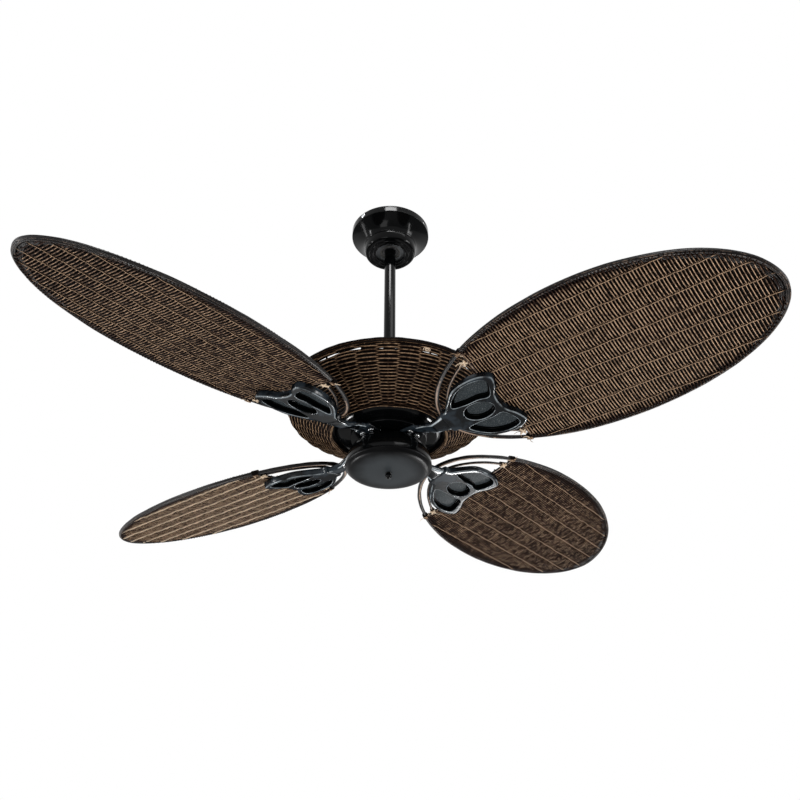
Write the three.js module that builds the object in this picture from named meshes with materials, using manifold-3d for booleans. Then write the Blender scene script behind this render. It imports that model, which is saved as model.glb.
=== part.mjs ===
// A ceiling fan: ball hanger, downrod, outer-rotor motor in a woven bowl, and four oval woven blades.
// Millimetres, +Z up. The origin is the middle of the face that meets the ceiling.
import * as THREE from "three";
import { mergeVertices } from "three/addons/utils/BufferGeometryUtils.js";
import Module from "manifold-3d";

const wasm = await Module();
wasm.setup();

// ---- Clearances ----
const FIT = 0.3; // between pieces that touch
const RUN = 3; // between a turning piece and a still one
const BALL_PLAY = 0.5; // between the sliding spheres of the hanger
const BITE = 1; // how far two joined solids run into each other

// ---- Ceiling bracket and hanger ----
const STRAP_THICKNESS = 2.5;
const STRAP_WIDTH = 32;
const BRACKET_TURN_DEG = 47;
const SLOT_TURN_DEG = -28;
const BALL_RADIUS = 20;
const BALL_CENTRE_DROP = 31;
const BALL_TOP = 13; // flat above the ball's centre
const BALL_FOOT = 15; // flat below it
const SEAT_THICKNESS = 2;
const SEAT_TOP = 6; // below the ball's centre
const SEAT_FOOT = 14;
const SOCKET_WALL = 7;
const HANGER_PIN_RADIUS = 2.5;
const HANGER_PIN_LENGTH = 34;
const LAG_HOLE_RADIUS = 3;
const LAG_HOLE_SPACING = 76;

// ---- Canopy ----
const CANOPY_RADIUS = 67;
const CANOPY_WALL = 1.4;
const CANOPY_BAND = 12; // the straight rim
const CANOPY_SHOULDER = 22; // the height of the hollow curve below it
const CANOPY_SHOULDER_POWER = 1.6; // 1 is a cone, and more is hollower
const CUP_RADIUS = 44.5;
const CUP_DEPTH = 13;
const CUP_CORNER = 6;
const CANOPY_MOUTH_RADIUS = 25;
const CANOPY_SCREW_RADIUS = 2;
const CANOPY_SCREW_DROP = 6.5;

// ---- Downrod and coupling ----
const ROD_RADIUS = 9.525;
const ROD_WALL = 1.6;
const COUPLING_WALL = 5;
const COUPLING_GRIP = 32; // the length of rod inside the coupling
const COUPLING_WEB = 3; // between the rod's end and the shaft's end
const COUPLING_FOOT_RADIUS = 30;
const COUPLING_FOOT = 4;
const COUPLING_PIN_RADIUS = 3;

// ---- Motor ----
const MOTOR_RADIUS = 83;
const MOTOR_HEIGHT = 58;
const MOTOR_SHELL_WALL = 2.5;
const MOTOR_CORNER = 16;
const SHAFT_RADIUS = 8.5;
const SHAFT_BORE_RADIUS = 5;
const SHAFT_GRIP = 20; // the length of shaft inside the coupling
const BEARING_RADIUS = 20;
const BEARING_HEIGHT = 12;
const BEARING_CUP_WALL = 3;
const STACK_HEIGHT = 22; // of the stator and the rotor ring
const STATOR_RADIUS = 60;
const STATOR_TEETH = 12;
const STATOR_SLOT_DEPTH = 16;
const AIR_GAP = 1.2;
const ROTOR_RING_THICKNESS = 15;
const COIL_HEIGHT = 8;
const COIL_OUTER_RADIUS = 56;
const COIL_INNER_RADIUS = 36;

// ---- Woven bowl ----
const BOWL_MOUTH_RADIUS = 87; // at the motor
const BOWL_KNEE_RADIUS = 155;
const BOWL_FLARE = 7; // from the knee out to the top
const BOWL_FLOOR_RISE = 35; // from the mouth up to the knee
const BOWL_SIDE_HEIGHT = 24;
const BOWL_WALL = 6; // over a stake
const BOWL_DIP = 1.6; // of each face between two stakes
const BOWL_STAKES = 32;
const RIM_ROPE_RADIUS = 4.5;
const SPOKE_WIDTH = 14;
const SPOKE_COUNT = 4;
const FRAME_HUB_RADIUS = 29;
const FRAME_RING_WIDTH = 9;

// ---- Switch housing, cap and finial ----
const DOME_RADIUS = 64.5;
const DOME_HEIGHT = 38;
const DOME_WALL = 2;
const DOME_SHOULDER_RADIUS = 36;
const NECK_RADIUS = 20;
const NECK_HEIGHT = 11;
const SHAFT_NUT_RADIUS = 14;
const SHAFT_NUT_HEIGHT = 6;
const CAP_DEPTH = 10;
const CAP_FACE_RADIUS = 55;
const CAP_CORNER_DEPTH = 7.5;
const CAP_WALL = 1.5;
const FINIAL_RADIUS = 5;
const FINIAL_COLLAR_RADIUS = 4.5;
const FINIAL_LENGTH = 10;
const FINIAL_STUD_RADIUS = 2.5;
const FINIAL_STUD_LENGTH = 48;
const CAPACITOR = { length: 44, width: 20, height: 24 };

// ---- Blade flange and brackets ----
const BLADE_PLANE_DROP = 430; // from the ceiling to the blades' middle plane
const FLANGE_RADIUS = 58;
const FLANGE_THICKNESS = 6;
const PAD_THICKNESS = 5.7;
const PAD_WIDTH = 30;
const BRACKET_SCREW_RADIUS = 2.5;
const BRACKET_SCREW_HEAD_RADIUS = 4.5;
const BRACKET_SCREW_SPREAD = 16;
const SCREW_CIRCLE_RADIUS = 47;
const ARM_WIDTH = 22;
const ARM_EDGE = { across: 0.8, up: 0.6 }; // where its bevels start, as shares of half its section
const NECK_WIDTH = 32; // where the arm meets its plate
const PLATE_THICKNESS = 10;
const PLATE_RECESS = 7;
const PLATE_START = 112; // from the fan's axis, as are the next ones
const PLATE_NOTCH = 203;
const PLATE_TIP = 220;
const PLATE_HALF_WIDTH = 56;
const TIP_OFFSET = 44; // from the blade's own axis to a side petal's tip
const PLATE_RIM = 5;
// The plate's side from neck to petal, as shares of its length and half-width.
const PLATE_SIDE = [
  [0.2, 0.62],
  [0.38, 0.87],
  [0.58, 0.97],
  [0.78, 1],
  [0.92, 0.93],
];
// From a petal's tip in to the notch: shares of the plate's length, back from the tip, and of its offset.
const PLATE_TIP_EDGE = [
  [0, 1],
  [0.05, 0.62],
  [0.13, 0.34],
];
// The hollow in a side petal, as shares of the plate's length and half-width.
const PETAL_HOLLOW = [
  [0.26, 0.48],
  [0.44, 0.76],
  [0.7, 0.875],
  [0.86, 0.73],
  [0.79, 0.354],
  [0.62, 0.44],
  [0.42, 0.42],
];
const OVAL_HOLLOW_SHARE = 0.22; // its half-length over the plate's length
const BLADE_SCREW_RADIUS = 2;
const BLADE_SCREW_BACK = 8; // from a petal's tip
const BLADE_SCREW_OFFSET = 42; // from the blade's own axis

// ---- Blades ----
const BLADE_COUNT = 4;
const FIRST_BLADE_DEG = 51.2;
const BLADE_TRIMS_DEG = [-0.1, 1.8, -3.1, 0.2]; // as the blades hang in the photograph
const BLADE_PITCH_DEG = 15.3;
const BLADE_START = 103;
const BLADE_REACH = 600;
const BLADE_HALF_WIDTH = 124;
const BLADE_OFFSET = -3.6; // the outline's middle, off the bracket's axis
const BLADE_SKEW = 0.048; // the share by which one side is the narrower
const OUTLINE_POWER = 1.056; // 1 is an ellipse, and more draws the ends in
const TIP_SWELL = 0.018; // the share by which the outer half is the fuller
const TIP_SWELL_SKEW = 0.022; // how far that differs between the two sides
const END_SWELL = 0.017; // the share by which both ends are fuller than the middle
const BORDER_RADIUS = 3.5;
const INNER_LOOP_RADIUS = 2;
const INNER_LOOP_INSET = 20; // inside the blade's outline
const WEAVE_START = 200;
const WEAVE_THICKNESS = 6.2; // over a stake
const WEAVE_DIP = 1.7; // of each face between two stakes
const STAKE_SPACING = 28.2; // of the long stakes that the weave goes over and under
const STAKE_COUNT = 9;
const STAKE_SHIFT = -7.1; // of the middle stake from the arm's line
const WEAVE_GAP = 1; // between the panel and its border

// ---- Sides of round pieces ----
const WIDE_ROUND = 48;
const ROUND = 32;
const SMALL_ROUND = 18;
const TINY_ROUND = 8;
const BORDER_STEPS = 40;
const BORDER_SIDES = 6;
const INNER_LOOP_STEPS = 12;
const RIB_STEPS = 4; // from stake to stake

// ---- Heights and radii worked out from the sizes above ----
const bladePlaneZ = -BLADE_PLANE_DROP;
const padTopZ = bladePlaneZ + PAD_THICKNESS;
const flangeFootZ = padTopZ + FIT;
const motorFootZ = flangeFootZ + FLANGE_THICKNESS + FIT;
const motorTopZ = motorFootZ + MOTOR_HEIGHT;
const motorMiddleZ = (motorFootZ + motorTopZ) / 2;
const couplingFootZ = motorTopZ + RUN;
const shaftTopZ = couplingFootZ + SHAFT_GRIP;
const rodFootZ = shaftTopZ + COUPLING_WEB;
const couplingTopZ = rodFootZ + COUPLING_GRIP;
const ballZ = -BALL_CENTRE_DROP;
const cupFloorZ = -(CANOPY_BAND + CANOPY_SHOULDER + CUP_DEPTH + CUP_CORNER / 2);
const bowlMouthZ = motorFootZ - FIT;
const bowlKneeZ = bowlMouthZ + BOWL_FLOOR_RISE;
const bowlTopZ = bowlKneeZ + BOWL_SIDE_HEIGHT;
const bowlTopRadius = BOWL_KNEE_RADIUS + BOWL_FLARE;
const spokeZ = couplingFootZ + COUPLING_FOOT + FIT;
const neckTopZ = motorFootZ - RUN;
const domeTopZ = neckTopZ - NECK_HEIGHT;
const domeFootZ = domeTopZ - DOME_HEIGHT;
const shaftFootZ = domeTopZ - DOME_WALL - SHAFT_NUT_HEIGHT - BITE;
const capTopZ = domeFootZ - FIT;
const capFootZ = capTopZ - CAP_DEPTH;
const rodBoreRadius = ROD_RADIUS + FIT;
const shaftHoleRadius = SHAFT_RADIUS + FIT;
const couplingRadius = rodBoreRadius + COUPLING_WALL;
const couplingPinZ = rodFootZ + COUPLING_GRIP / 2;
const strapReach = CANOPY_RADIUS - CANOPY_WALL - 3 * STRAP_THICKNESS - BITE; // from the axis to a leg
const socketBoreRadius = BALL_RADIUS + SEAT_THICKNESS + 2 * BALL_PLAY;
const socketRadius = socketBoreRadius + SOCKET_WALL;

// ---- Solids ----
// A geometry as a manifold-3d solid, with its vertices merged and its faces pointing out.
function solidOf(geometry) {
  const bare = geometry.index ? geometry.toNonIndexed() : geometry.clone();
  bare.deleteAttribute("normal");
  bare.deleteAttribute("uv");
  const merged = mergeVertices(bare, 1e-4);
  const corners = [];
  const index = merged.index.array;
  for (let i = 0; i < index.length; i += 3) {
    const [a, b, c] = [index[i], index[i + 1], index[i + 2]];
    if (a !== b && b !== c && c !== a) corners.push(a, b, c);
  }
  const mesh = (triVerts) =>
    new wasm.Mesh({
      numProp: 3,
      vertProperties: new Float32Array(merged.attributes.position.array),
      triVerts: new Uint32Array(triVerts),
    });
  const solid = new wasm.Manifold(mesh(corners));
  return solid.volume() > 0 ? solid : new wasm.Manifold(mesh(corners.reverse()));
}

// A solid as a three.js geometry.
function geometryOf(solid) {
  const mesh = solid.getMesh();
  const geometry = new THREE.BufferGeometry();
  const points = new Float32Array(mesh.numVert * 3);
  for (let i = 0; i < mesh.numVert; i += 1) {
    points.set(mesh.vertProperties.subarray(i * mesh.numProp, i * mesh.numProp + 3), 3 * i);
  }
  geometry.setAttribute("position", new THREE.BufferAttribute(points, 3));
  geometry.setIndex(new THREE.BufferAttribute(new Uint32Array(mesh.triVerts), 1));
  geometry.computeVertexNormals();
  return geometry;
}

const join = (...solids) => solids.reduce((whole, piece) => whole.add(piece));
const cut = (solid, ...tools) => tools.reduce((rest, tool) => rest.subtract(tool), solid);

// Turns a closed profile of [radius, z] points about Z.
function turned(profile, sides = ROUND) {
  const points = profile.map(([radius, z]) => new THREE.Vector2(radius, z));
  points.push(points[0].clone());
  const lathe = new THREE.LatheGeometry(points, sides);
  return solidOf(lathe.rotateX(Math.PI / 2));
}

// A ring with a square section.
const ring = (inner, outer, foot, top, sides = ROUND) =>
  turned(
    [
      [inner, foot],
      [outer, foot],
      [outer, top],
      [inner, top],
    ],
    sides,
  );

// A rod along Z between two heights.
function rod(radius, foot, top, sides = SMALL_ROUND) {
  const cylinder = new THREE.CylinderGeometry(radius, radius, top - foot, sides);
  return solidOf(cylinder.rotateX(Math.PI / 2).translate(0, 0, (foot + top) / 2));
}

// A rod along X through a height, centred on the axis or on x.
function crossRod(radius, length, z, x = 0, sides = TINY_ROUND) {
  const cylinder = new THREE.CylinderGeometry(radius, radius, length, sides);
  return solidOf(cylinder.rotateZ(Math.PI / 2).translate(x, 0, z));
}

function box(sizeX, sizeY, sizeZ, x, y, z) {
  return solidOf(new THREE.BoxGeometry(sizeX, sizeY, sizeZ).translate(x, y, z));
}

// An outline of [x, y] points pushed up from foot to top.
function prism(outline, foot, top) {
  const shape = new THREE.Shape(outline.map(([x, y]) => new THREE.Vector2(x, y)));
  const extruded = new THREE.ExtrudeGeometry(shape, { depth: top - foot, bevelEnabled: false });
  return solidOf(extruded.translate(0, 0, foot));
}

// The solid that faces make of rings of points.
function skin(rings, faces) {
  const positions = rings.flat().flatMap((point) => [point.x, point.y, point.z]);
  const geometry = new THREE.BufferGeometry();
  geometry.setAttribute("position", new THREE.Float32BufferAttribute(positions, 3));
  geometry.setIndex(faces);
  return solidOf(geometry);
}

// Skins a row of rings of the same number of points, and closes both ends.
function loft(rings) {
  const count = rings[0].length;
  const faces = [];
  for (let r = 0; r + 1 < rings.length; r += 1) {
    for (let i = 0; i < count; i += 1) {
      const [a, b] = [r * count + i, r * count + ((i + 1) % count)];
      faces.push(a, b, b + count, a, b + count, a + count);
    }
  }
  const last = (rings.length - 1) * count;
  for (let i = 1; i + 1 < count; i += 1) {
    faces.push(0, i + 1, i);
    faces.push(last, last + i, last + i + 1);
  }
  return skin(rings, faces);
}

// Skins a closed row of rings of the same number of points.
function closedLoft(rings) {
  const count = rings[0].length;
  const faces = [];
  rings.forEach((_, r) => {
    const [here, next] = [r * count, ((r + 1) % rings.length) * count];
    for (let i = 0; i < count; i += 1) {
      const j = (i + 1) % count;
      faces.push(here + i, next + i, next + j, here + i, next + j, here + j);
    }
  });
  return skin(rings, faces);
}

// A round bar that follows a closed flat loop of [x, y] points in the plane z = 0.
function closedBar(loop, radius, sides) {
  const curve = new THREE.CatmullRomCurve3(
    loop.map(([x, y]) => new THREE.Vector3(x, y, 0)),
    true,
  );
  const rings = loop.map((_, k) => {
    const centre = curve.getPoint(k / loop.length);
    const along = curve.getTangent(k / loop.length);
    return Array.from({ length: sides }, (_, i) => {
      const angle = (2 * Math.PI * i) / sides;
      const out = radius * Math.cos(angle);
      return new THREE.Vector3(centre.x + out * along.y, centre.y - out * along.x, radius * Math.sin(angle));
    });
  });
  return closedLoft(rings);
}

// Points on an arc about (x, y), from one angle to another in degrees.
function arc(x, y, radiusX, radiusY, fromDeg, toDeg, steps) {
  return Array.from({ length: steps + 1 }, (_, k) => {
    const angle = THREE.MathUtils.degToRad(fromDeg + ((toDeg - fromDeg) * k) / steps);
    return [x + radiusX * Math.cos(angle), y + radiusY * Math.sin(angle)];
  });
}

// ---- Finishes ----
const finish = (color, roughness, metalness) => ({ color, roughness, metalness });
const BLACK_ENAMEL = finish(0x17181a, 0.22, 0.3);
const SATIN_BLACK = finish(0x2b2d30, 0.5, 0.2);
const ZINC = finish(0xb4b6b8, 0.4, 0.9);
const BRIGHT_STEEL = finish(0xc8cacc, 0.3, 0.9);
const NYLON = finish(0xdcd8cc, 0.5, 0);
const IRON = finish(0x55585c, 0.6, 0.6);
const COPPER = finish(0xa8623a, 0.4, 0.8);
const DARK_WEAVE = finish(0x4a3b2c, 0.7, 0);
const DARK_RATTAN = finish(0x33281f, 0.6, 0);

// Hangs a named mesh of a solid in a group.
function place(group, name, solid, look) {
  const mesh = new THREE.Mesh(geometryOf(solid), new THREE.MeshStandardMaterial(look));
  mesh.name = name;
  group.add(mesh);
}

// ---- Ceiling bracket ----
// Half of the strap's side view, from the middle of the ceiling plate out, down and in to the socket.
function strapProfile() {
  const bendZ = -CANOPY_BAND;
  const socketZ = ballZ - SEAT_TOP - STRAP_THICKNESS;
  return [
    [0, 0],
    [strapReach, 0],
    [strapReach, bendZ],
    [socketRadius - BITE, socketZ],
    [socketRadius - SOCKET_WALL / 2, socketZ - STRAP_THICKNESS],
    [socketRadius - SOCKET_WALL / 2, socketZ],
    [strapReach - STRAP_THICKNESS, bendZ + STRAP_THICKNESS],
    [strapReach - STRAP_THICKNESS, -STRAP_THICKNESS],
    [0, -STRAP_THICKNESS],
  ];
}

// Points of a sphere's profile between two heights measured down from the ball's centre.
function spherePoints(radius, topDrop, footDrop, steps) {
  return Array.from({ length: steps + 1 }, (_, k) => {
    const drop = topDrop + ((footDrop - topDrop) * k) / steps;
    return [Math.sqrt(radius * radius - drop * drop), ballZ - drop];
  });
}

function ceilingBracket() {
  const half = prism(strapProfile(), -STRAP_WIDTH / 2, STRAP_WIDTH / 2).rotate([90, 0, 0]);
  const socketProfile = [
    ...spherePoints(socketBoreRadius, SEAT_TOP, SEAT_FOOT + BITE, 3),
    [socketRadius - BITE, ballZ - SEAT_FOOT - BITE],
    [socketRadius, ballZ - SEAT_TOP],
  ];
  const mouth = rod(socketRadius - SOCKET_WALL / 2, ballZ - SEAT_TOP, -STRAP_THICKNESS - BITE);
  const strap = cut(join(half, half.rotate([0, 0, 180])), mouth);
  const screwHoles = crossRod(CANOPY_SCREW_RADIUS + FIT, 2 * (strapReach + BITE), -CANOPY_SCREW_DROP);
  const lagHole = rod(LAG_HOLE_RADIUS, -STRAP_THICKNESS - BITE, BITE, TINY_ROUND);
  const lagHoles = [-1, 1].map((side) => lagHole.translate([(side * LAG_HOLE_SPACING) / 2, 0, 0]));
  return cut(join(strap, turned(socketProfile, SMALL_ROUND)), screwHoles, ...lagHoles);
}

// ---- Canopy ----
// The outer profile of the canopy, shrunk by inset, from the rim down to the mouth.
function canopySide(inset) {
  const shoulderTopZ = -CANOPY_BAND;
  const width = CANOPY_RADIUS - CUP_RADIUS;
  const shoulder = [0, 0.2, 0.45, 0.7, 1].map((share) => [
    CUP_RADIUS + width * (1 - share) ** CANOPY_SHOULDER_POWER - inset,
    shoulderTopZ - CANOPY_SHOULDER * share + 0.6 * inset * (1 - share),
  ]);
  const size = CUP_CORNER - inset;
  const corner = arc(CUP_RADIUS - CUP_CORNER, cupFloorZ + CUP_CORNER, size, size, 0, -90, 3);
  return [[CANOPY_RADIUS - inset, 0], ...shoulder, ...corner];
}

function canopy() {
  const shell = turned([
    ...canopySide(0),
    [CANOPY_MOUTH_RADIUS, cupFloorZ],
    [CANOPY_MOUTH_RADIUS, cupFloorZ + CANOPY_WALL],
    ...canopySide(CANOPY_WALL).reverse(),
  ]);
  const through = 3 * CANOPY_RADIUS;
  const screwHoles = crossRod(CANOPY_SCREW_RADIUS + FIT, through, -CANOPY_SCREW_DROP);
  const slots = box(through, 4 * CANOPY_SCREW_RADIUS, 2 * CANOPY_SCREW_RADIUS, 0, 0, -CANOPY_SCREW_DROP);
  return cut(shell, screwHoles.rotate([0, 0, BRACKET_TURN_DEG]), slots.rotate([0, 0, SLOT_TURN_DEG]));
}

// A screw along +X, its shank ending at the head's back face, which stands at x = 0.
function screw(shankRadius, shankLength, headRadius, headHeight) {
  const shank = [
    [0, -shankLength],
    [shankRadius, -shankLength],
    [shankRadius, 0],
  ];
  const head = [
    [headRadius, 0],
    [headRadius, headHeight / 2],
    [headRadius / 2, headHeight],
    [0, headHeight],
  ];
  return turned([...shank, ...head], TINY_ROUND);
}

function canopyScrew() {
  const length = CANOPY_RADIUS + FIT - strapReach + STRAP_THICKNESS + BITE;
  const body = screw(CANOPY_SCREW_RADIUS, length, 2 * CANOPY_SCREW_RADIUS, CANOPY_SCREW_RADIUS);
  return body.rotate([0, 90, 0]).translate([CANOPY_RADIUS + FIT, 0, -CANOPY_SCREW_DROP]);
}

// ---- Hanger ----
function swivelSeat() {
  const inner = BALL_RADIUS + BALL_PLAY;
  const profile = [
    ...spherePoints(inner + SEAT_THICKNESS, SEAT_TOP, SEAT_FOOT, 3),
    ...spherePoints(inner, SEAT_TOP, SEAT_FOOT, 3).reverse(),
  ];
  return turned(profile, SMALL_ROUND);
}

function hangerBall() {
  const profile = [
    ...spherePoints(BALL_RADIUS, -BALL_TOP, BALL_FOOT, 8),
    [rodBoreRadius, ballZ - BALL_FOOT],
    [rodBoreRadius, ballZ + BALL_TOP],
  ];
  return cut(turned(profile, SMALL_ROUND), crossRod(HANGER_PIN_RADIUS + FIT, 3 * BALL_RADIUS, ballZ));
}

function hangerPin() {
  return crossRod(HANGER_PIN_RADIUS, HANGER_PIN_LENGTH, ballZ);
}

function downrod() {
  const tube = ring(ROD_RADIUS - ROD_WALL, ROD_RADIUS, rodFootZ + FIT, ballZ + BALL_TOP, SMALL_ROUND);
  const through = 3 * ROD_RADIUS;
  const hangerPinHole = crossRod(HANGER_PIN_RADIUS + FIT, through, ballZ);
  const couplingPinHole = crossRod(COUPLING_PIN_RADIUS + FIT, through, couplingPinZ);
  return cut(tube, hangerPinHole, couplingPinHole);
}

// ---- Coupling ----
function rodCoupling() {
  const profile = [
    [shaftHoleRadius, couplingFootZ],
    [COUPLING_FOOT_RADIUS, couplingFootZ],
    [COUPLING_FOOT_RADIUS, couplingFootZ + COUPLING_FOOT],
    [couplingRadius, couplingFootZ + COUPLING_FOOT],
    [couplingRadius, couplingTopZ],
    [rodBoreRadius, couplingTopZ],
    [rodBoreRadius, rodFootZ],
    [SHAFT_BORE_RADIUS, rodFootZ],
    [SHAFT_BORE_RADIUS, shaftTopZ + FIT],
    [shaftHoleRadius, shaftTopZ + FIT],
  ];
  const pinHole = crossRod(COUPLING_PIN_RADIUS + FIT, 3 * couplingRadius, couplingPinZ);
  return cut(turned(profile, SMALL_ROUND), pinHole);
}

function couplingPin() {
  const length = 2 * couplingRadius + 2 * COUPLING_PIN_RADIUS + 2 * FIT;
  const pin = screw(COUPLING_PIN_RADIUS, length, 2 * COUPLING_PIN_RADIUS, COUPLING_PIN_RADIUS);
  return pin.rotate([0, 90, 0]).translate([couplingRadius + FIT, 0, couplingPinZ]);
}

// ---- Motor ----
function motorShaft() {
  return ring(SHAFT_BORE_RADIUS, SHAFT_RADIUS, shaftFootZ, shaftTopZ, SMALL_ROUND);
}

function statorCore() {
  const halfStack = STACK_HEIGHT / 2;
  const disc = ring(shaftHoleRadius, STATOR_RADIUS, motorMiddleZ - halfStack, motorMiddleZ + halfStack);
  const slotWidth = (Math.PI * STATOR_RADIUS) / STATOR_TEETH / 2;
  const slot = box(STATOR_SLOT_DEPTH, slotWidth, 2 * STACK_HEIGHT, STATOR_RADIUS, 0, motorMiddleZ);
  const slots = Array.from({ length: STATOR_TEETH }, (_, k) => slot.rotate([0, 0, (360 * k) / STATOR_TEETH]));
  return cut(disc, ...slots);
}

function statorCoil(side) {
  const inZ = motorMiddleZ + side * (STACK_HEIGHT / 2 + FIT);
  const outZ = inZ + side * COIL_HEIGHT;
  const bulge = COIL_HEIGHT / 4;
  return turned([
    [COIL_INNER_RADIUS, inZ],
    [COIL_OUTER_RADIUS, inZ],
    [COIL_OUTER_RADIUS, outZ - side * bulge],
    [COIL_OUTER_RADIUS - bulge, outZ],
    [COIL_INNER_RADIUS + bulge, outZ],
    [COIL_INNER_RADIUS, outZ - side * bulge],
  ]);
}

function rotorRing() {
  const halfStack = STACK_HEIGHT / 2;
  const inner = STATOR_RADIUS + AIR_GAP;
  return ring(inner, inner + ROTOR_RING_THICKNESS, motorMiddleZ - halfStack, motorMiddleZ + halfStack);
}

// One half of the motor's shell: side is -1 for the lower half and 1 for the upper one.
function motorShell(side) {
  const faceZ = side < 0 ? motorFootZ : motorTopZ;
  const splitZ = motorMiddleZ + (side * FIT) / 2;
  const height = (depth) => faceZ - side * depth;
  const cupRadius = BEARING_RADIUS + FIT + BEARING_CUP_WALL;
  const cupDepth = MOTOR_SHELL_WALL + BEARING_HEIGHT;
  const corner = (inset, turnDeg) => {
    const turn = THREE.MathUtils.degToRad(turnDeg);
    const size = MOTOR_CORNER - inset;
    return [MOTOR_RADIUS - MOTOR_CORNER + size * Math.sin(turn), height(inset + size * (1 - Math.cos(turn)))];
  };
  const outer = [
    [SHAFT_RADIUS + RUN, height(0)],
    [FLANGE_RADIUS, height(0)],
    ...[0, 30, 60, 90].map((turnDeg) => corner(0, turnDeg)),
    [MOTOR_RADIUS, splitZ],
  ];
  const inner = [
    [MOTOR_RADIUS - MOTOR_SHELL_WALL, splitZ],
    corner(MOTOR_SHELL_WALL, 90),
    corner(MOTOR_SHELL_WALL, 40),
    [FLANGE_RADIUS, height(MOTOR_SHELL_WALL)],
    [cupRadius, height(MOTOR_SHELL_WALL)],
    [cupRadius, height(cupDepth)],
    [BEARING_RADIUS + FIT, height(cupDepth)],
    [BEARING_RADIUS + FIT, height(MOTOR_SHELL_WALL)],
    [SHAFT_RADIUS + RUN, height(MOTOR_SHELL_WALL)],
  ];
  return turned([...outer, ...inner]);
}

function bearing(side) {
  const faceZ = side < 0 ? motorFootZ : motorTopZ;
  const outZ = faceZ - side * (MOTOR_SHELL_WALL + FIT);
  const inZ = outZ - side * (BEARING_HEIGHT - FIT);
  return ring(shaftHoleRadius, BEARING_RADIUS, Math.min(outZ, inZ), Math.max(outZ, inZ), SMALL_ROUND);
}

// ---- Woven bowl ----
// How far a woven face has sunk from a stake, at 0, to half way to the next, at 1.
const ribDip = (step) => 1 - Math.abs(Math.cos((Math.PI * step) / RIB_STEPS));

// A line along the bowl's wall, from its mouth to its top, at a depth behind its outer face.
function bowlSide(depth) {
  const slope = BOWL_FLOOR_RISE / (BOWL_KNEE_RADIUS - BOWL_MOUTH_RADIUS);
  const rise = depth * Math.hypot(1, slope);
  const soft = BOWL_WALL + depth;
  return [
    [BOWL_MOUTH_RADIUS, bowlMouthZ + rise],
    [BOWL_KNEE_RADIUS - soft, bowlKneeZ + rise - soft * slope],
    [BOWL_KNEE_RADIUS - depth, bowlKneeZ + soft / 2],
    [bowlTopRadius - depth, bowlTopZ],
  ];
}

// The bowl stands out in a rib over each stake.
function wickerBowl() {
  const steps = BOWL_STAKES * RIB_STEPS;
  const rings = Array.from({ length: steps }, (_, k) => {
    const turn = (2 * Math.PI * k) / steps;
    const dip = ribDip(k) * BOWL_DIP;
    const section = [...bowlSide(dip), ...bowlSide(BOWL_WALL - dip).reverse()];
    return section.map(([r, z]) => new THREE.Vector3(r * Math.cos(turn), r * Math.sin(turn), z));
  });
  return closedLoft(rings);
}

function bowlRim() {
  const centreRadius = bowlTopRadius - BOWL_WALL / 2;
  const centreZ = bowlTopZ + FIT + RIM_ROPE_RADIUS;
  const section = arc(centreRadius, centreZ, RIM_ROPE_RADIUS, RIM_ROPE_RADIUS, 0, 300, 5);
  return turned(section, WIDE_ROUND);
}

function bowlFrame() {
  const topZ = spokeZ + STRAP_THICKNESS;
  const ringRadius = bowlTopRadius - BOWL_WALL / 2 - RIM_ROPE_RADIUS - FIT;
  const hub = ring(couplingRadius + FIT, FRAME_HUB_RADIUS, spokeZ, topZ, SMALL_ROUND);
  const hoop = ring(ringRadius - FRAME_RING_WIDTH, ringRadius, spokeZ, topZ, WIDE_ROUND);
  const reach = ringRadius - FRAME_RING_WIDTH + BITE;
  const start = couplingRadius + FIT + BITE;
  const middleZ = spokeZ + STRAP_THICKNESS / 2;
  const spoke = box(reach - start, SPOKE_WIDTH, STRAP_THICKNESS, (reach + start) / 2, 0, middleZ);
  const spokes = Array.from({ length: SPOKE_COUNT }, (_, k) => spoke.rotate([0, 0, (360 * k) / SPOKE_COUNT]));
  return join(hub, hoop, ...spokes);
}

// ---- Switch housing ----
// The dome's outer side, shrunk by inset: a quarter of an ellipse that flares to its foot.
function domeSide(inset) {
  const width = DOME_RADIUS - DOME_SHOULDER_RADIUS;
  return [0, 0.25, 0.5, 0.75, 1].map((share) => {
    const angle = (share * Math.PI) / 2;
    return [
      DOME_SHOULDER_RADIUS + width * Math.sin(angle) - inset,
      domeTopZ - inset - (DOME_HEIGHT - inset) * (1 - Math.cos(angle)),
    ];
  });
}

function switchHousing() {
  return turned([
    [shaftHoleRadius, neckTopZ],
    [NECK_RADIUS, neckTopZ],
    [NECK_RADIUS, domeTopZ],
    ...domeSide(0),
    ...domeSide(DOME_WALL).reverse(),
    [shaftHoleRadius, domeTopZ - DOME_WALL],
  ]);
}

function shaftNut() {
  const topZ = domeTopZ - DOME_WALL - FIT;
  const hexagon = rod(SHAFT_NUT_RADIUS, topZ - SHAFT_NUT_HEIGHT, topZ, 6);
  return cut(hexagon, rod(shaftHoleRadius, topZ - SHAFT_NUT_HEIGHT - BITE, topZ + BITE));
}

function capacitor() {
  const { length, width, height } = CAPACITOR;
  const clearOfNut = SHAFT_NUT_RADIUS + BITE + width / 2;
  return box(length, width, height, 0, clearOfNut, capTopZ + height / 2);
}

// The cap's outer side, shrunk by inset, from its rim down to the middle of its face.
function capSide(inset) {
  const cornerWidth = DOME_RADIUS - CAP_FACE_RADIUS;
  const cornerDepth = CAP_CORNER_DEPTH - inset;
  const corner = arc(CAP_FACE_RADIUS, capTopZ, cornerWidth - inset, cornerDepth, 0, -90, 3);
  return [...corner, [FINIAL_STUD_RADIUS + FIT, capFootZ + inset]];
}

function bottomCap() {
  return turned([...capSide(0), ...capSide(CAP_WALL).reverse()]);
}

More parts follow.
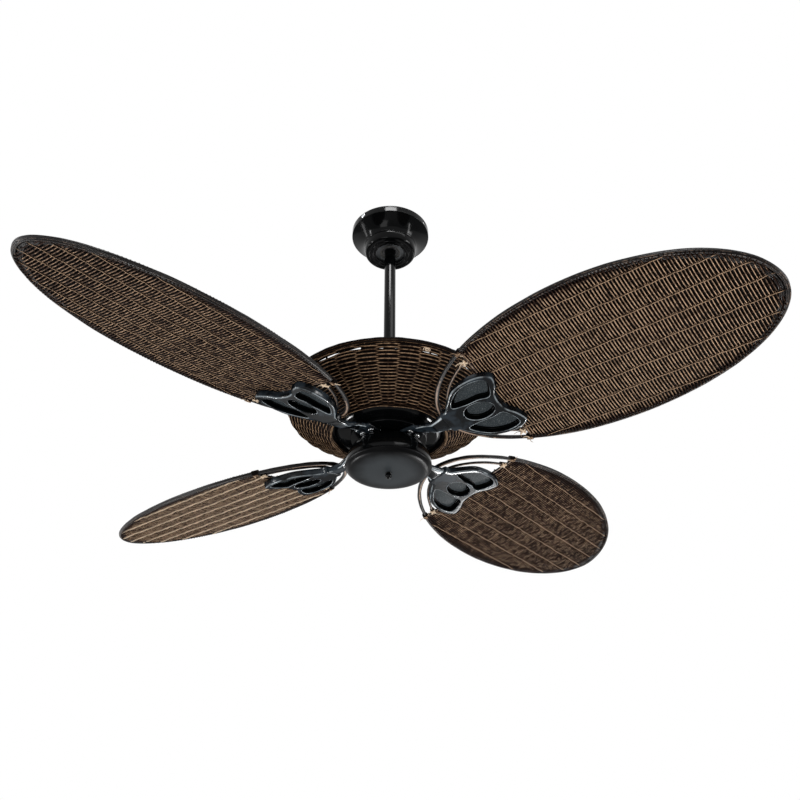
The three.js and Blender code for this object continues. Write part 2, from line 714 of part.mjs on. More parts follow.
function finialKnob() {
  const knobTopZ = capFootZ - FIT;
  const footZ = knobTopZ - FINIAL_LENGTH;
  const waistRadius = Math.SQRT1_2 * FINIAL_RADIUS;
  const ballMiddleZ = footZ + FINIAL_RADIUS;
  const profile = [
    [0, knobTopZ + FINIAL_STUD_LENGTH],
    [FINIAL_STUD_RADIUS, knobTopZ + FINIAL_STUD_LENGTH],
    [FINIAL_STUD_RADIUS, knobTopZ],
    [FINIAL_COLLAR_RADIUS, knobTopZ],
    [waistRadius, ballMiddleZ + waistRadius],
    [FINIAL_RADIUS, ballMiddleZ],
    [waistRadius, ballMiddleZ - waistRadius],
    [0, footZ],
  ];
  return turned(profile, SMALL_ROUND);
}

// ---- Blade flange and brackets, in a frame with +X along the blade and z = 0 in the blade plane ----
const pitch = THREE.MathUtils.degToRad(BLADE_PITCH_DEG);
const plateTopW = -BORDER_RADIUS - FIT;
const screwSpots = [-1, 1].map((side) => [SCREW_CIRCLE_RADIUS, (side * BRACKET_SCREW_SPREAD) / 2]);

function bladeFlange(azimuthsDeg) {
  const topZ = flangeFootZ + FLANGE_THICKNESS;
  const body = ring(NECK_RADIUS + 2 * RUN, FLANGE_RADIUS, flangeFootZ, topZ);
  const hole = rod(BRACKET_SCREW_RADIUS + FIT, flangeFootZ - BITE, topZ + BITE, TINY_ROUND);
  const pair = screwSpots.map(([out, across]) => hole.translate([out, across, 0]));
  const holes = azimuthsDeg.flatMap((azimuth) => pair.map((one) => one.rotate([0, 0, azimuth])));
  return cut(body, ...holes);
}

// A section of the arm at a distance out: width, thickness, middle height, and the share of the pitch.
function armSection(out, width, thickness, middle, share) {
  const turn = -pitch * share;
  const quarter = [
    [1, ARM_EDGE.up],
    [ARM_EDGE.across, 1],
  ];
  const upper = [...quarter, ...quarter.map(([v, w]) => [-v, w]).reverse()];
  const corners = [...upper, ...upper.map(([v, w]) => [-v, -w])];
  return corners.map(([v, w]) => {
    const across = (v * width) / 2;
    const up = middle + (w * thickness) / 2;
    return new THREE.Vector3(
      out,
      across * Math.cos(turn) - up * Math.sin(turn),
      across * Math.sin(turn) + up * Math.cos(turn),
    );
  });
}

// The outline of the three-petal plate, [out, across], as one closed spline.
function plateOutline() {
  const span = PLATE_TIP - PLATE_START;
  const side = [
    [PLATE_START, NECK_WIDTH / 2],
    ...PLATE_SIDE.map(([along, across]) => [PLATE_START + along * span, across * PLATE_HALF_WIDTH]),
    ...PLATE_TIP_EDGE.map(([back, across]) => [PLATE_TIP - back * span, across * TIP_OFFSET]),
  ];
  const mirrored = side.map(([out, across]) => [out, -across]).reverse();
  return smoothLoop([...side, [PLATE_NOTCH, 0], ...mirrored], 38);
}

// A closed spline through a few points, sampled evenly.
function smoothLoop(points, steps) {
  const curve = new THREE.CatmullRomCurve3(
    points.map(([x, y]) => new THREE.Vector3(x, y, 0)),
    true,
    "centripetal",
  );
  return Array.from({ length: steps }, (_, k) => {
    const point = curve.getPoint(k / steps);
    return [point.x, point.y];
  });
}

// The three hollows in the plate's underside: an oval in the middle and a leaf in each side petal.
function plateRecesses() {
  const span = PLATE_TIP - PLATE_START;
  const ovalHalfLength = OVAL_HOLLOW_SHARE * span;
  const ovalMiddle = PLATE_NOTCH - 2 * PLATE_RIM - ovalHalfLength;
  const oval = arc(ovalMiddle, 0, ovalHalfLength, 3 * PLATE_RIM, 0, 330, 11);
  const leaf = PETAL_HOLLOW.map(([along, across]) => [PLATE_START + along * span, across * PLATE_HALF_WIDTH]);
  const mirrored = leaf.map(([out, across]) => [out, -across]).reverse();
  return [oval, smoothLoop(leaf, 14), smoothLoop(mirrored, 14)];
}

// The two places, [out, across], where screws hold a blade to its bracket's side petals.
const bladeScrewSpots = [-1, 1].map((side) => [PLATE_TIP - BLADE_SCREW_BACK, side * BLADE_SCREW_OFFSET]);

function bladeBracket() {
  const plateMiddleW = plateTopW - PLATE_THICKNESS / 2;
  const armThickness = PLATE_THICKNESS - 1;
  const padMiddle = PAD_THICKNESS / 2;
  const padStart = NECK_RADIUS + 4 * RUN;
  const padEnd = FLANGE_RADIUS + BITE;
  const armLength = PLATE_START - padEnd;
  const arm = loft([
    armSection(padEnd - 2 * BITE, ARM_WIDTH, PAD_THICKNESS, padMiddle, 0),
    armSection(padEnd + armLength / 4, ARM_WIDTH, armThickness - 2 * BITE, 0, 0.2),
    armSection(padEnd + 0.6 * armLength, ARM_WIDTH, armThickness, plateMiddleW + BITE, 0.7),
    armSection(PLATE_START - PLATE_RIM, NECK_WIDTH - 3 * BITE, armThickness, plateMiddleW, 1),
    armSection(PLATE_START + PLATE_RIM, NECK_WIDTH, armThickness, plateMiddleW, 1),
  ]);
  const pad = box(padEnd - padStart, PAD_WIDTH, PAD_THICKNESS, (padEnd + padStart) / 2, 0, padMiddle);
  const padHole = rod(BRACKET_SCREW_RADIUS + FIT, -BITE, PAD_THICKNESS + BITE, TINY_ROUND);
  const padHoles = screwSpots.map(([out, across]) => padHole.translate([out, across, 0]));
  const plateFootW = plateTopW - PLATE_THICKNESS;
  const recessTopW = plateFootW + PLATE_RECESS;
  const recesses = plateRecesses().map((outline) => prism(outline, plateFootW - BITE, recessTopW));
  const bladeHole = rod(BLADE_SCREW_RADIUS + FIT, plateFootW + 2 * BITE, plateTopW + BITE, TINY_ROUND);
  const bladeHoles = bladeScrewSpots.map(([out, across]) => bladeHole.translate([out, across, 0]));
  const plate = cut(prism(plateOutline(), plateFootW, plateTopW), ...recesses, ...bladeHoles);
  const turnedPlate = plate.rotate([-BLADE_PITCH_DEG, 0, 0]);
  return cut(join(turnedPlate, arm, pad), ...padHoles);
}

function bracketScrew([out, across]) {
  const length = PAD_THICKNESS + FLANGE_THICKNESS;
  const body = screw(BRACKET_SCREW_RADIUS, length, BRACKET_SCREW_HEAD_RADIUS, BRACKET_SCREW_RADIUS);
  return body.rotate([180, 0, 0]).translate([out, across, -FIT]);
}

// ---- Blades, in a frame with +X along the blade and z = 0 in its own pitched plane ----
const bladeMiddle = (BLADE_START + BLADE_REACH) / 2;
const bladeHalfLength = (BLADE_REACH - BLADE_START) / 2;

// A point of the blade's outline, shrunk by inset: nearly an ellipse, fuller towards its tip.
function outlinePoint(angle, inset) {
  const along = Math.cos(angle);
  const aside = Math.sin(angle);
  const side = Math.sign(aside);
  const swell = 1 + (TIP_SWELL - TIP_SWELL_SKEW * side) * along + END_SWELL * along ** 2;
  const halfWidth = BLADE_HALF_WIDTH * (1 - BLADE_SKEW * side) - inset;
  const out = bladeMiddle + (bladeHalfLength - inset) * along;
  return [out, halfWidth * side * Math.abs(aside) ** OUTLINE_POWER * swell + BLADE_OFFSET];
}

const bladeOutline = (inset) =>
  Array.from({ length: BORDER_STEPS }, (_, k) => outlinePoint((2 * Math.PI * k) / BORDER_STEPS, inset));

function bladeBorder() {
  return closedBar(bladeOutline(BORDER_RADIUS), BORDER_RADIUS, BORDER_SIDES);
}

// The panel stands out in a rib over each stake, on both faces.
function bladeWeave() {
  const reach = (STAKE_COUNT * RIB_STEPS) / 2;
  const ribs = Array.from({ length: 2 * reach + 1 }, (_, k) => {
    const across = STAKE_SHIFT + ((k - reach) * STAKE_SPACING) / RIB_STEPS;
    return [across, WEAVE_THICKNESS / 2 - WEAVE_DIP * ribDip(k - reach)];
  });
  const underside = ribs.map(([across, height]) => [across, -height]).reverse();
  const ribbed = prism([...ribs, ...underside], WEAVE_START, BLADE_REACH).rotate([90, 0, 90]);
  const oval = prism(bladeOutline(2 * BORDER_RADIUS + WEAVE_GAP), -WEAVE_THICKNESS, WEAVE_THICKNESS);
  const surround = box(2 * BLADE_REACH, 4 * BLADE_HALF_WIDTH, WEAVE_THICKNESS + BITE, bladeMiddle, 0, 0);
  const hole = rod(BLADE_SCREW_RADIUS + FIT, -WEAVE_THICKNESS, WEAVE_THICKNESS, TINY_ROUND);
  const holes = bladeScrewSpots.map(([out, across]) => hole.translate([out, across, 0]));
  return cut(ribbed, cut(surround, oval), ...holes);
}

// The inner loop runs from the weave's edge round the root and back, inside the border.
function bladeInnerLoop() {
  const endOut = WEAVE_START - INNER_LOOP_RADIUS - bladeMiddle;
  const endAngle = Math.acos(endOut / (bladeHalfLength - INNER_LOOP_INSET));
  const points = Array.from({ length: INNER_LOOP_STEPS + 1 }, (_, k) => {
    const angle = endAngle + ((2 * Math.PI - 2 * endAngle) * k) / INNER_LOOP_STEPS;
    const [out, across] = outlinePoint(angle, INNER_LOOP_INSET);
    return new THREE.Vector3(out, across, 0);
  });
  const section = new THREE.Shape().absarc(0, 0, INNER_LOOP_RADIUS, 0, 2 * Math.PI);
  const curve = new THREE.CatmullRomCurve3(points);
  const bar = new THREE.ExtrudeGeometry(section, { extrudePath: curve, steps: 20, curveSegments: 3 });
  return solidOf(bar);
}

function bladeScrew([out, across]) {
  const headZ = WEAVE_THICKNESS / 2 + FIT;
  const length = headZ - plateTopW + PLATE_THICKNESS - 3 * BITE;
  const body = screw(BLADE_SCREW_RADIUS, length, 2.5 * BLADE_SCREW_RADIUS, BLADE_SCREW_RADIUS);
  return body.translate([out, across, headZ]);
}

// ---- Assembly ----
const fan = new THREE.Group();

const ceilingMount = new THREE.Group();
ceilingMount.rotation.z = THREE.MathUtils.degToRad(BRACKET_TURN_DEG);
place(ceilingMount, "ceiling_bracket", ceilingBracket(), ZINC);
[1, 2].forEach((number) => {
  const turn = new THREE.Group();
  turn.rotation.z = Math.PI * number;
  place(turn, `canopy_screw_${number}`, canopyScrew(), BRIGHT_STEEL);
  ceilingMount.add(turn);
});
fan.add(ceilingMount);
place(fan, "canopy", canopy(), BLACK_ENAMEL);

place(fan, "swivel_seat", swivelSeat(), NYLON);
place(fan, "hanger_ball", hangerBall(), SATIN_BLACK);
place(fan, "hanger_pin", hangerPin(), ZINC);
place(fan, "downrod", downrod(), BLACK_ENAMEL);
place(fan, "rod_coupling", rodCoupling(), SATIN_BLACK);
place(fan, "coupling_pin", couplingPin(), ZINC);

place(fan, "motor_shaft", motorShaft(), BRIGHT_STEEL);
place(fan, "stator_core", statorCore(), IRON);
place(fan, "stator_coil_upper", statorCoil(1), COPPER);
place(fan, "stator_coil_lower", statorCoil(-1), COPPER);
place(fan, "bearing_upper", bearing(1), BRIGHT_STEEL);
place(fan, "bearing_lower", bearing(-1), BRIGHT_STEEL);
place(fan, "rotor_ring", rotorRing(), IRON);
place(fan, "motor_shell_upper", motorShell(1), BLACK_ENAMEL);
place(fan, "motor_shell_lower", motorShell(-1), BLACK_ENAMEL);

place(fan, "bowl_frame", bowlFrame(), SATIN_BLACK);
place(fan, "wicker_bowl", wickerBowl(), DARK_WEAVE);
place(fan, "bowl_rim", bowlRim(), DARK_RATTAN);

place(fan, "switch_housing", switchHousing(), BLACK_ENAMEL);
place(fan, "shaft_nut", shaftNut(), ZINC);
place(fan, "capacitor", capacitor(), SATIN_BLACK);
place(fan, "bottom_cap", bottomCap(), SATIN_BLACK);
place(fan, "finial_knob", finialKnob(), BLACK_ENAMEL);

const bladeAzimuthsDeg = Array.from(
  { length: BLADE_COUNT },
  (_, k) => FIRST_BLADE_DEG + (360 * k) / BLADE_COUNT + (BLADE_TRIMS_DEG[k] ?? 0),
);
place(fan, "blade_flange", bladeFlange(bladeAzimuthsDeg), BLACK_ENAMEL);

const bracketSolid = bladeBracket();
const borderSolid = bladeBorder();
const weaveSolid = bladeWeave();
const innerLoopSolid = bladeInnerLoop();
bladeAzimuthsDeg.forEach((azimuth, k) => {
  const number = k + 1;
  const arm = new THREE.Group();
  arm.position.z = bladePlaneZ;
  arm.rotation.z = THREE.MathUtils.degToRad(azimuth);
  place(arm, `blade_bracket_${number}`, bracketSolid, BLACK_ENAMEL);
  place(arm, `bracket_screw_${number}a`, bracketScrew(screwSpots[0]), BRIGHT_STEEL);
  place(arm, `bracket_screw_${number}b`, bracketScrew(screwSpots[1]), BRIGHT_STEEL);
  const blade = new THREE.Group();
  blade.rotation.x = -pitch;
  place(blade, `blade_border_${number}`, borderSolid, DARK_RATTAN);
  place(blade, `blade_inner_loop_${number}`, innerLoopSolid, DARK_RATTAN);
  place(blade, `blade_weave_${number}`, weaveSolid, DARK_WEAVE);
  place(blade, `blade_screw_${number}a`, bladeScrew(bladeScrewSpots[0]), ZINC);
  place(blade, `blade_screw_${number}b`, bladeScrew(bladeScrewSpots[1]), ZINC);
  arm.add(blade);
  fan.add(arm);
});

export default fan;
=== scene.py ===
"""Looks of a four-blade ceiling fan.

Oval woven blades hang on petal-shaped brackets under a motor in a woven bowl, below a black rod and canopy.
Shapes are worked out in millimetres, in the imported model's frame, and turned into metres when a piece is made.
"""

import logging
import math
from dataclasses import dataclass, field
from enum import Enum
from functools import cache
from typing import Any, Callable, Optional, Sequence, Union

import bmesh
import bpy
import numpy as np
from mathutils import Matrix, Vector, geometry


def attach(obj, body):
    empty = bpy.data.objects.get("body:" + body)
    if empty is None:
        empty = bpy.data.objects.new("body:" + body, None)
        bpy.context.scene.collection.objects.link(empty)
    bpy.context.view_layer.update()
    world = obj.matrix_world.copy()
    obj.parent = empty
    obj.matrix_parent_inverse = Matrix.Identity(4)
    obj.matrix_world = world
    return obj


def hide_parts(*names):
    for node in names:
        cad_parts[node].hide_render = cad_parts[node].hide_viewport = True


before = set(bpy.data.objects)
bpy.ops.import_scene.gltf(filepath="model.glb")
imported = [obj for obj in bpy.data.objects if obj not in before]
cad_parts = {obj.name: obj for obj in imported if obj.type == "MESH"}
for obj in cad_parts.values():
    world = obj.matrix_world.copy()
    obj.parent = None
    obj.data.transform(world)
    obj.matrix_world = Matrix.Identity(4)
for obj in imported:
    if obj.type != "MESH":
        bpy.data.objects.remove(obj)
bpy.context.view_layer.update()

log = logging.getLogger("fan")

TO_METRES = Matrix.Scale(0.001, 4)
Corner = tuple[float, float, float]
Colour = tuple[float, float, float, float]
Reach = Union[float, np.ndarray]
UP = np.array([0.0, 0.0, 1.0])
# Half the thickness of the dark sheets, painted shade, inside the weaves.
SHADE_SHEET_HALF = 0.3
SOFT_DEG = 60.0


class Body(Enum):
    """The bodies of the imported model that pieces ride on."""

    MOUNT = "ceiling_mount"
    MOTOR = "hanging_motor"
    ROTOR = "rotor"


# ---- Node trees ----


def _operator(operation: str, swapped: bool = False) -> Callable[..., "Wire"]:
    """Makes a method of Wire that adds one Math node.

    Args:
        operation: the Math node's operation.
        swapped: whether the other value comes first.

    Returns:
        The method.
    """

    def method(self: "Wire", other: "Feed" = 0.0) -> "Wire":
        """Adds the node and gives its result."""
        feeds = {0: other, 1: self} if swapped else {0: self, 1: other}
        return self.sheet.out("ShaderNodeMath", {"operation": operation}, feeds)

    return method


class Wire:
    """An output socket that takes part in Python arithmetic."""

    def __init__(self, sheet: "Sheet", socket: bpy.types.NodeSocket) -> None:
        """Keeps the socket and the sheet that its further nodes go on."""
        self.sheet = sheet
        self.socket = socket

    __add__, __radd__ = _operator("ADD"), _operator("ADD", True)
    __sub__, __rsub__ = _operator("SUBTRACT"), _operator("SUBTRACT", True)
    __mul__, __rmul__ = _operator("MULTIPLY"), _operator("MULTIPLY", True)
    __truediv__ = _operator("DIVIDE")
    size, least, cosine = _operator("ABSOLUTE"), _operator("MINIMUM"), _operator("COSINE")

    def step(self, low: float, high: float) -> "Wire":
        """A soft step that is 0 below low and 1 above high.

        Args:
            low: where the step starts.
            high: where it ends.

        Returns:
            The stepped value.
        """
        settings = {"interpolation_type": "SMOOTHSTEP"}
        return self.sheet.out("ShaderNodeMapRange", settings, {0: self, 1: low, 2: high})


Feed = Union[Wire, float, int, str, tuple]


class Sheet:
    """A node tree under construction."""

    def __init__(self, tree: bpy.types.NodeTree) -> None:
        """Starts on a tree, which is emptied."""
        self.tree = tree
        self.tree.nodes.clear()

    def add(self, kind: str, settings: Optional[dict] = None, feeds: Optional[dict] = None) -> bpy.types.Node:
        """Adds a node.

        Args:
            kind: the node's type.
            settings: its properties, and "stops" for a ramp's (place, colour) pairs.
            feeds: a value or a Wire for each socket, by name or number.

        Returns:
            The node.
        """
        node = self.tree.nodes.new(kind)
        for name, value in (settings or {}).items():
            if name == "stops":
                self._set_stops(node.color_ramp, value)
            else:
                setattr(node, name, value)
        for key, value in (feeds or {}).items():
            if isinstance(value, Wire):
                self.tree.links.new(value.socket, node.inputs[key])
            else:
                node.inputs[key].default_value = value
        return node

    def out(
        self, kind: str, settings: Optional[dict] = None, feeds: Optional[dict] = None, socket: int = 0
    ) -> Wire:
        """Adds a node as add does and gives one of its outputs.

        Args:
            kind: the node's type.
            settings: its properties.
            feeds: what its sockets take.
            socket: the number of the output.

        Returns:
            The output as a Wire.
        """
        return Wire(self, self.add(kind, settings, feeds).outputs[socket])

    @staticmethod
    def _set_stops(ramp: bpy.types.ColorRamp, stops: Sequence[tuple[float, Colour]]) -> None:
        """Gives a colour ramp its stops.

        Args:
            ramp: the ramp.
            stops: (place, colour) pairs.
        """
        while len(ramp.elements) < len(stops):
            ramp.elements.new(1.0)
        for element, (place, colour) in zip(ramp.elements, stops):
            element.position = place
            element.color = colour

    def mix(self, share: Feed, first: Feed, second: Feed) -> Wire:
        """Mixes two colours.

        Args:
            share: how much of the second there is.
            first: a colour.
            second: another colour.

        Returns:
            The mixed colour.
        """
        return self.out("ShaderNodeMix", {"data_type": "RGBA"}, {0: share, 6: first, 7: second}, 2)


class Surface(Sheet):
    """A material's node tree, around one Principled shader."""

    def __init__(self, name: str) -> None:
        """Starts a material.

        Args:
            name: the material's name.
        """
        self.material = bpy.data.materials.new(name)
        self.material.use_nodes = True
        super().__init__(self.material.node_tree)
        self.shader = self.add("ShaderNodeBsdfPrincipled")
        output = self.add("ShaderNodeOutputMaterial")
        self.tree.links.new(self.shader.outputs[0], output.inputs[0])
        self.place = self.out("ShaderNodeTexCoord", socket=3)

    def stretched(self, scale: tuple[float, float, float]) -> Wire:
        """The object's coordinates, scaled along each axis."""
        return self.out("ShaderNodeMapping", None, {"Vector": self.place, "Scale": scale})

    def noise(self, scale: float, detail: float = 3.0, vector: Optional[Wire] = None) -> Wire:
        """Soft noise from 0 to 1.

        Args:
            scale: its features per metre.
            detail: its octaves.
            vector: coordinates, if not the object's own.

        Returns:
            The noise.
        """
        feeds = {"Vector": vector or self.place, "Scale": scale, "Detail": detail}
        return self.out("ShaderNodeTexNoise", None, feeds)

    def attribute(self, name: str) -> Wire:
        """A number that the mesh carries."""
        return self.out("ShaderNodeAttribute", {"attribute_name": name}, None, 2)

    def bump(self, height: Wire, depth: float, strength: float = 1.0) -> Wire:
        """A bumped normal.

        Args:
            height: the height field, from 0 to 1.
            depth: how deep 1 is, in metres.
            strength: the share of it that shows.

        Returns:
            The normal.
        """
        return self.out("ShaderNodeBump", None, {"Height": height, "Distance": depth, "Strength": strength})

    def dress(self, **feeds: Feed) -> bpy.types.Material:
        """Feeds the shader's sockets, named with _ for each space, and gives the material.

        Args:
            feeds: a value or a Wire for each socket.

        Returns:
            The finished material.
        """
        for name, value in feeds.items():
            socket = self.shader.inputs[name.replace("_", " ")]
            if isinstance(value, Wire):
                self.tree.links.new(value.socket, socket)
            else:
                socket.default_value = value
        return self.material


def seen(red: int, green: int, blue: int) -> Colour:
    """A colour as a screen shows it, from 0 to 255, turned into the linear one that a shader takes.

    Args:
        red: its red, from 0 to 255.
        green: its green.
        blue: its blue.

    Returns:
        The linear colour.
    """

    def linear(channel: int) -> float:
        """One channel, linear."""
        share = channel / 255
        return share / 12.92 if share <= 0.04045 else ((share + 0.055) / 1.055) ** 2.4

    return (linear(red), linear(green), linear(blue), 1.0)


# ---- Finishes ----


@dataclass(frozen=True)
class Enamel:
    """Baked enamel: a fine orange peel, faint smears and settled dust, and if asked a painted lighter middle
    that fades to painted shade at the edge.
    """

    name: str
    colour: Colour
    dust: Colour
    roughness: float
    specular: float
    coat: float
    peel: float = 0.00002
    # A painted lighter middle and its reach, fading to painted shade at the edge.
    painted_light: Optional[Colour] = None
    painted_light_radius: float = 0.0

    def _ground(self, surface: Surface) -> Feed:
        """The paint under the dust, painted paler round the Z axis and darker towards the edge, a painted shade,
        if the finish asks for it.

        Args:
            surface: the material under construction.

        Returns:
            The paint's colour.
        """
        if self.painted_light is None:
            return self.colour
        flat = surface.out("ShaderNodeVectorMath", {"operation": "MULTIPLY"}, {0: surface.place, 1: (1, 1, 0)})
        reach = surface.out("ShaderNodeVectorMath", {"operation": "LENGTH"}, {0: flat}, 1)
        cloud = surface.noise(40, 2)
        # Paler in the middle, darker towards the edge: painted shade.
        spread = (reach / self.painted_light_radius + (cloud - 0.5) * 0.25).step(0.45, 1.0)
        return surface.mix(spread, self.painted_light, self.colour)

    def material(self) -> bpy.types.Material:
        """Builds the finish.

        Returns:
            The finished material.
        """
        surface = Surface(self.name)
        smears = surface.noise(14, 4)
        dust = surface.noise(900, 2).step(0.62, 0.8) * surface.noise(22).step(0.35, 0.75) * 0.35
        peel = surface.noise(620, 2)
        return surface.dress(
            Base_Color=surface.mix(dust, self._ground(surface), self.dust),
            Roughness=self.roughness + smears.step(0.35, 0.8) * 0.09 + dust * 0.5,
            Specular_IOR_Level=self.specular,
            Coat_Weight=self.coat,
            Coat_Roughness=0.04,
            Normal=surface.bump(peel, self.peel),
        )


@dataclass(frozen=True)
class Metal:
    """Bare or plated metal, with fine marks along one axis and duller patches."""

    name: str
    colour: Colour
    dull: Colour
    roughness: float
    grain: tuple[float, float, float] = (60.0, 60.0, 2400.0)

    def material(self) -> bpy.types.Material:
        """Builds the finish.

        Returns:
            The finished material.
        """
        surface = Surface(self.name)
        marks = surface.noise(1.0, 3, surface.stretched(self.grain))
        patches = surface.noise(45, 4).step(0.4, 0.75)
        return surface.dress(
            Base_Color=surface.mix(patches * 0.6, self.colour, self.dull),
            Metallic=1.0,
            Roughness=self.roughness + patches * 0.18 + marks * 0.1,
            Normal=surface.bump(marks, 0.00003),
        )


@dataclass(frozen=True)
class Moulded:
    """Moulded plastic: a faint grain and soft scuffs."""

    name: str
    colour: Colour
    scuff: Colour
    roughness: float

    def material(self) -> bpy.types.Material:
        """Builds the finish.

        Returns:
            The finished material.
        """
        surface = Surface(self.name)
        grain = surface.noise(1500, 2)
        scuffs = surface.noise(60, 5).step(0.55, 0.8)
        return surface.dress(
            Base_Color=surface.mix(scuffs * 0.5, self.colour, self.scuff),
            Roughness=self.roughness + scuffs * 0.15,
            Normal=surface.bump(grain, 0.00004),
        )


@dataclass(frozen=True)
class Layered:
    """Stacked sheets or wound wire: fine bands up the axis or out from it."""

    name: str
    colour: Colour
    gap: Colour
    pitch: float
    roughness: float
    metallic: float
    rings: bool

    def material(self) -> bpy.types.Material:
        """Builds the finish.

        Returns:
            The finished material.
        """
        surface = Surface(self.name)
        kind = {"wave_type": "RINGS" if self.rings else "BANDS"}
        kind["rings_direction" if self.rings else "bands_direction"] = "Z"
        turns = math.pi / (10 * self.pitch)
        feeds = {"Vector": surface.place, "Scale": turns, "Distortion": 0.4, "Detail Scale": 3.0}
        bands = surface.out("ShaderNodeTexWave", kind, feeds, 1)
        blotches = surface.noise(70, 3)
        return surface.dress(
            Base_Color=surface.mix((1 - bands.step(0.05, 0.6)) * 0.8, self.colour, self.gap),
            Metallic=self.metallic,
            Roughness=self.roughness + blotches * 0.2,
            Normal=surface.bump(bands, self.pitch / 3),
        )


@dataclass(frozen=True)
class Cane:
    """Stained cane with painted shade and painted highlights: near-black in the grooves as painted shade, pale
    tan along the top and bottom of each strand as painted highlight mixed with wear, raw where it was cut.

    The mesh carries a mark of how far a point stands out of its weave and faces straight out of it, which drives
    the painted shade and the painted highlight; tone, each strand's own lightness, which is also set per blade
    to paint the light that each blade gets; and edge, which darkens a point: as painted shade near a border and
    on the dark sheets, and on the stakes.
    """

    name: str
    groove_shade: Colour
    brown: Colour
    worn_and_lit: Colour
    raw: Colour
    wear_and_highlight: float
    roughness: float
    specular: float = 0.03

    def material(self) -> bpy.types.Material:
        """Builds the finish.

        Returns:
            The finished material.
        """
        surface = Surface(self.name)
        shade_and_highlight = surface.attribute("shade_and_highlight")
        tone = surface.attribute("tone")
        edge = surface.attribute("edge")
        fibres = surface.noise(900, 3)
        streaks = surface.noise(260, 3)
        clumps = surface.noise(125, 3).step(0.36, 0.62)
        # Painted shade in the grooves and a painted highlight along each strand's top and bottom come from the
        # strands' relief mark; edge darkens further, as painted shade.
        highlight_share = shade_and_highlight * shade_and_highlight
        chance = tone + streaks.step(0.4, 0.7) * 0.36 + clumps * 0.4 - edge * 0.9 - 0.14
        body = surface.mix(highlight_share.step(0.2, 0.9) * (1 - edge * 0.6) * (clumps * 0.5 + 0.5), self.groove_shade, self.brown)
        worn_and_lit = surface.mix(highlight_share.step(0.48, 0.95) * chance.step(0.0, 1.0) * self.wear_and_highlight, body, self.worn_and_lit)
        coloured = surface.mix(tone.step(0.86, 0.97), worn_and_lit, self.raw)
        return surface.dress(
            Base_Color=coloured,
            Roughness=self.roughness + fibres * 0.18,
            Specular_IOR_Level=self.specular,
            Normal=surface.bump(fibres, 0.00012, 0.7),
        )


@dataclass(frozen=True)
class Casting:
    """Glossy enamel on a cast piece: smooth rims, grey floors in its hollows, near-black walls between.

    The floors' grey is a coarse finish and also a painted reflection, and the walls' near-black is painted
    shade.
    The mesh carries floor, from 0 to 1 in a hollow, wall, from 0 to 1 on a hollow's side, and a third mark,
    above 0 on the edges that carry painted highlight lines, broken up like wear.
    """

    name: str
    # The floor and speck greys are partly a painted reflection, the wall colour is painted shade, and the last
    # colour paints highlight lines on edges.
    rim: Colour
    floor: Colour
    speck: Colour
    wall: Colour
    cloud: Colour
    painted_light: Colour
    roughness: float

    def material(self) -> bpy.types.Material:
        """Builds the finish.

        Returns:
            The finished material.
        """
        surface = Surface(self.name)
        floor = surface.attribute("floor")
        wall = surface.attribute("wall")
        glint_edge = surface.attribute("glint_edge")
        grain = surface.noise(420, 3)
        specks = surface.noise(800, 2).step(0.55, 0.7) * floor
        # The floors' lighter grey, with specks, is a coarse finish and partly a painted reflection.
        floors = surface.mix(specks, self.floor, self.speck)
        rims = surface.mix(surface.noise(38, 2).step(0.45, 0.62), self.rim, self.cloud)
        faces = surface.mix(floor * (grain * 0.35 + 0.75), rims, floors)
        # The walls take a near-black colour and less coat: painted shade.
        shaded_walls = surface.mix(wall, faces, self.wall)
        # Painted highlight lines along the marked edges, broken up by noise like wear.
        painted_glints = surface.noise(46, 3).step(0.36, 0.58) * glint_edge
        glance = surface.out("ShaderNodeLayerWeight", None, {"Blend": 0.5}, 1)
        return surface.dress(
            Base_Color=surface.mix(painted_glints, shaded_walls, self.painted_light),
            Roughness=0.5,
            Specular_IOR_Level=0.0,
            Coat_Weight=(1 - glance.step(0.45, 0.8)) * (1 - floor * 0.6) * (1 - wall * 0.7),
            Coat_Roughness=self.roughness,
            Coat_IOR=1.28,
            Normal=surface.bump(grain, 0.00012, 0.35),
        )


ENAMEL = Enamel("black_enamel", seen(6, 7, 8), seen(52, 54, 56), 0.1, 0.1, 0.0)
# Rim, floor, speck, wall, cloud and edge colours: the near-black wall is painted shade, the floor and speck
# greys are partly a painted reflection, and the pale edge colour is painted highlight.
CASTING = Casting(
    "cast_enamel", seen(10, 13, 16), seen(60, 66, 69), seen(112, 118, 121), seen(2, 3, 3), seen(40, 48, 55),
    seen(196, 206, 212), 0.14,
)
SATIN = Enamel("satin_black", seen(22, 23, 25), seen(72, 72, 74), 0.4, 0.25, 0.0, 0.00003)
# The cap is painted lighter in its middle and darker towards its rim: painted shade.
CAP_PAINT = Enamel(
    "cap_black", seen(4, 4, 5), seen(60, 61, 63), 0.3, 0.06, 0.0, 0.00002, seen(58, 62, 65), 0.062
)
DARK_ZINC = Metal("dark_zinc", seen(92, 94, 96), seen(60, 62, 62), 0.45)
ZINC = Metal("zinc_plate", seen(190, 192, 194), seen(140, 142, 140), 0.3)
STEEL = Metal("bright_steel", seen(214, 216, 218), seen(160, 162, 164), 0.16)
# Darker than natural nylon, so that the seat stays dark in the canopy's mouth: painted shade.
NYLON = Moulded("nylon_darkened_as_shade", seen(66, 64, 60), seen(48, 46, 42), 0.42)
BLACK_PLASTIC = Moulded("black_plastic", seen(26, 26, 28), seen(64, 64, 66), 0.4)
IRON = Layered("stacked_iron", seen(116, 118, 122), seen(48, 48, 52), 0.0005, 0.45, 0.7, False)
COPPER = Layered("wound_copper", seen(196, 112, 66), seen(74, 34, 18), 0.0008, 0.3, 0.75, True)
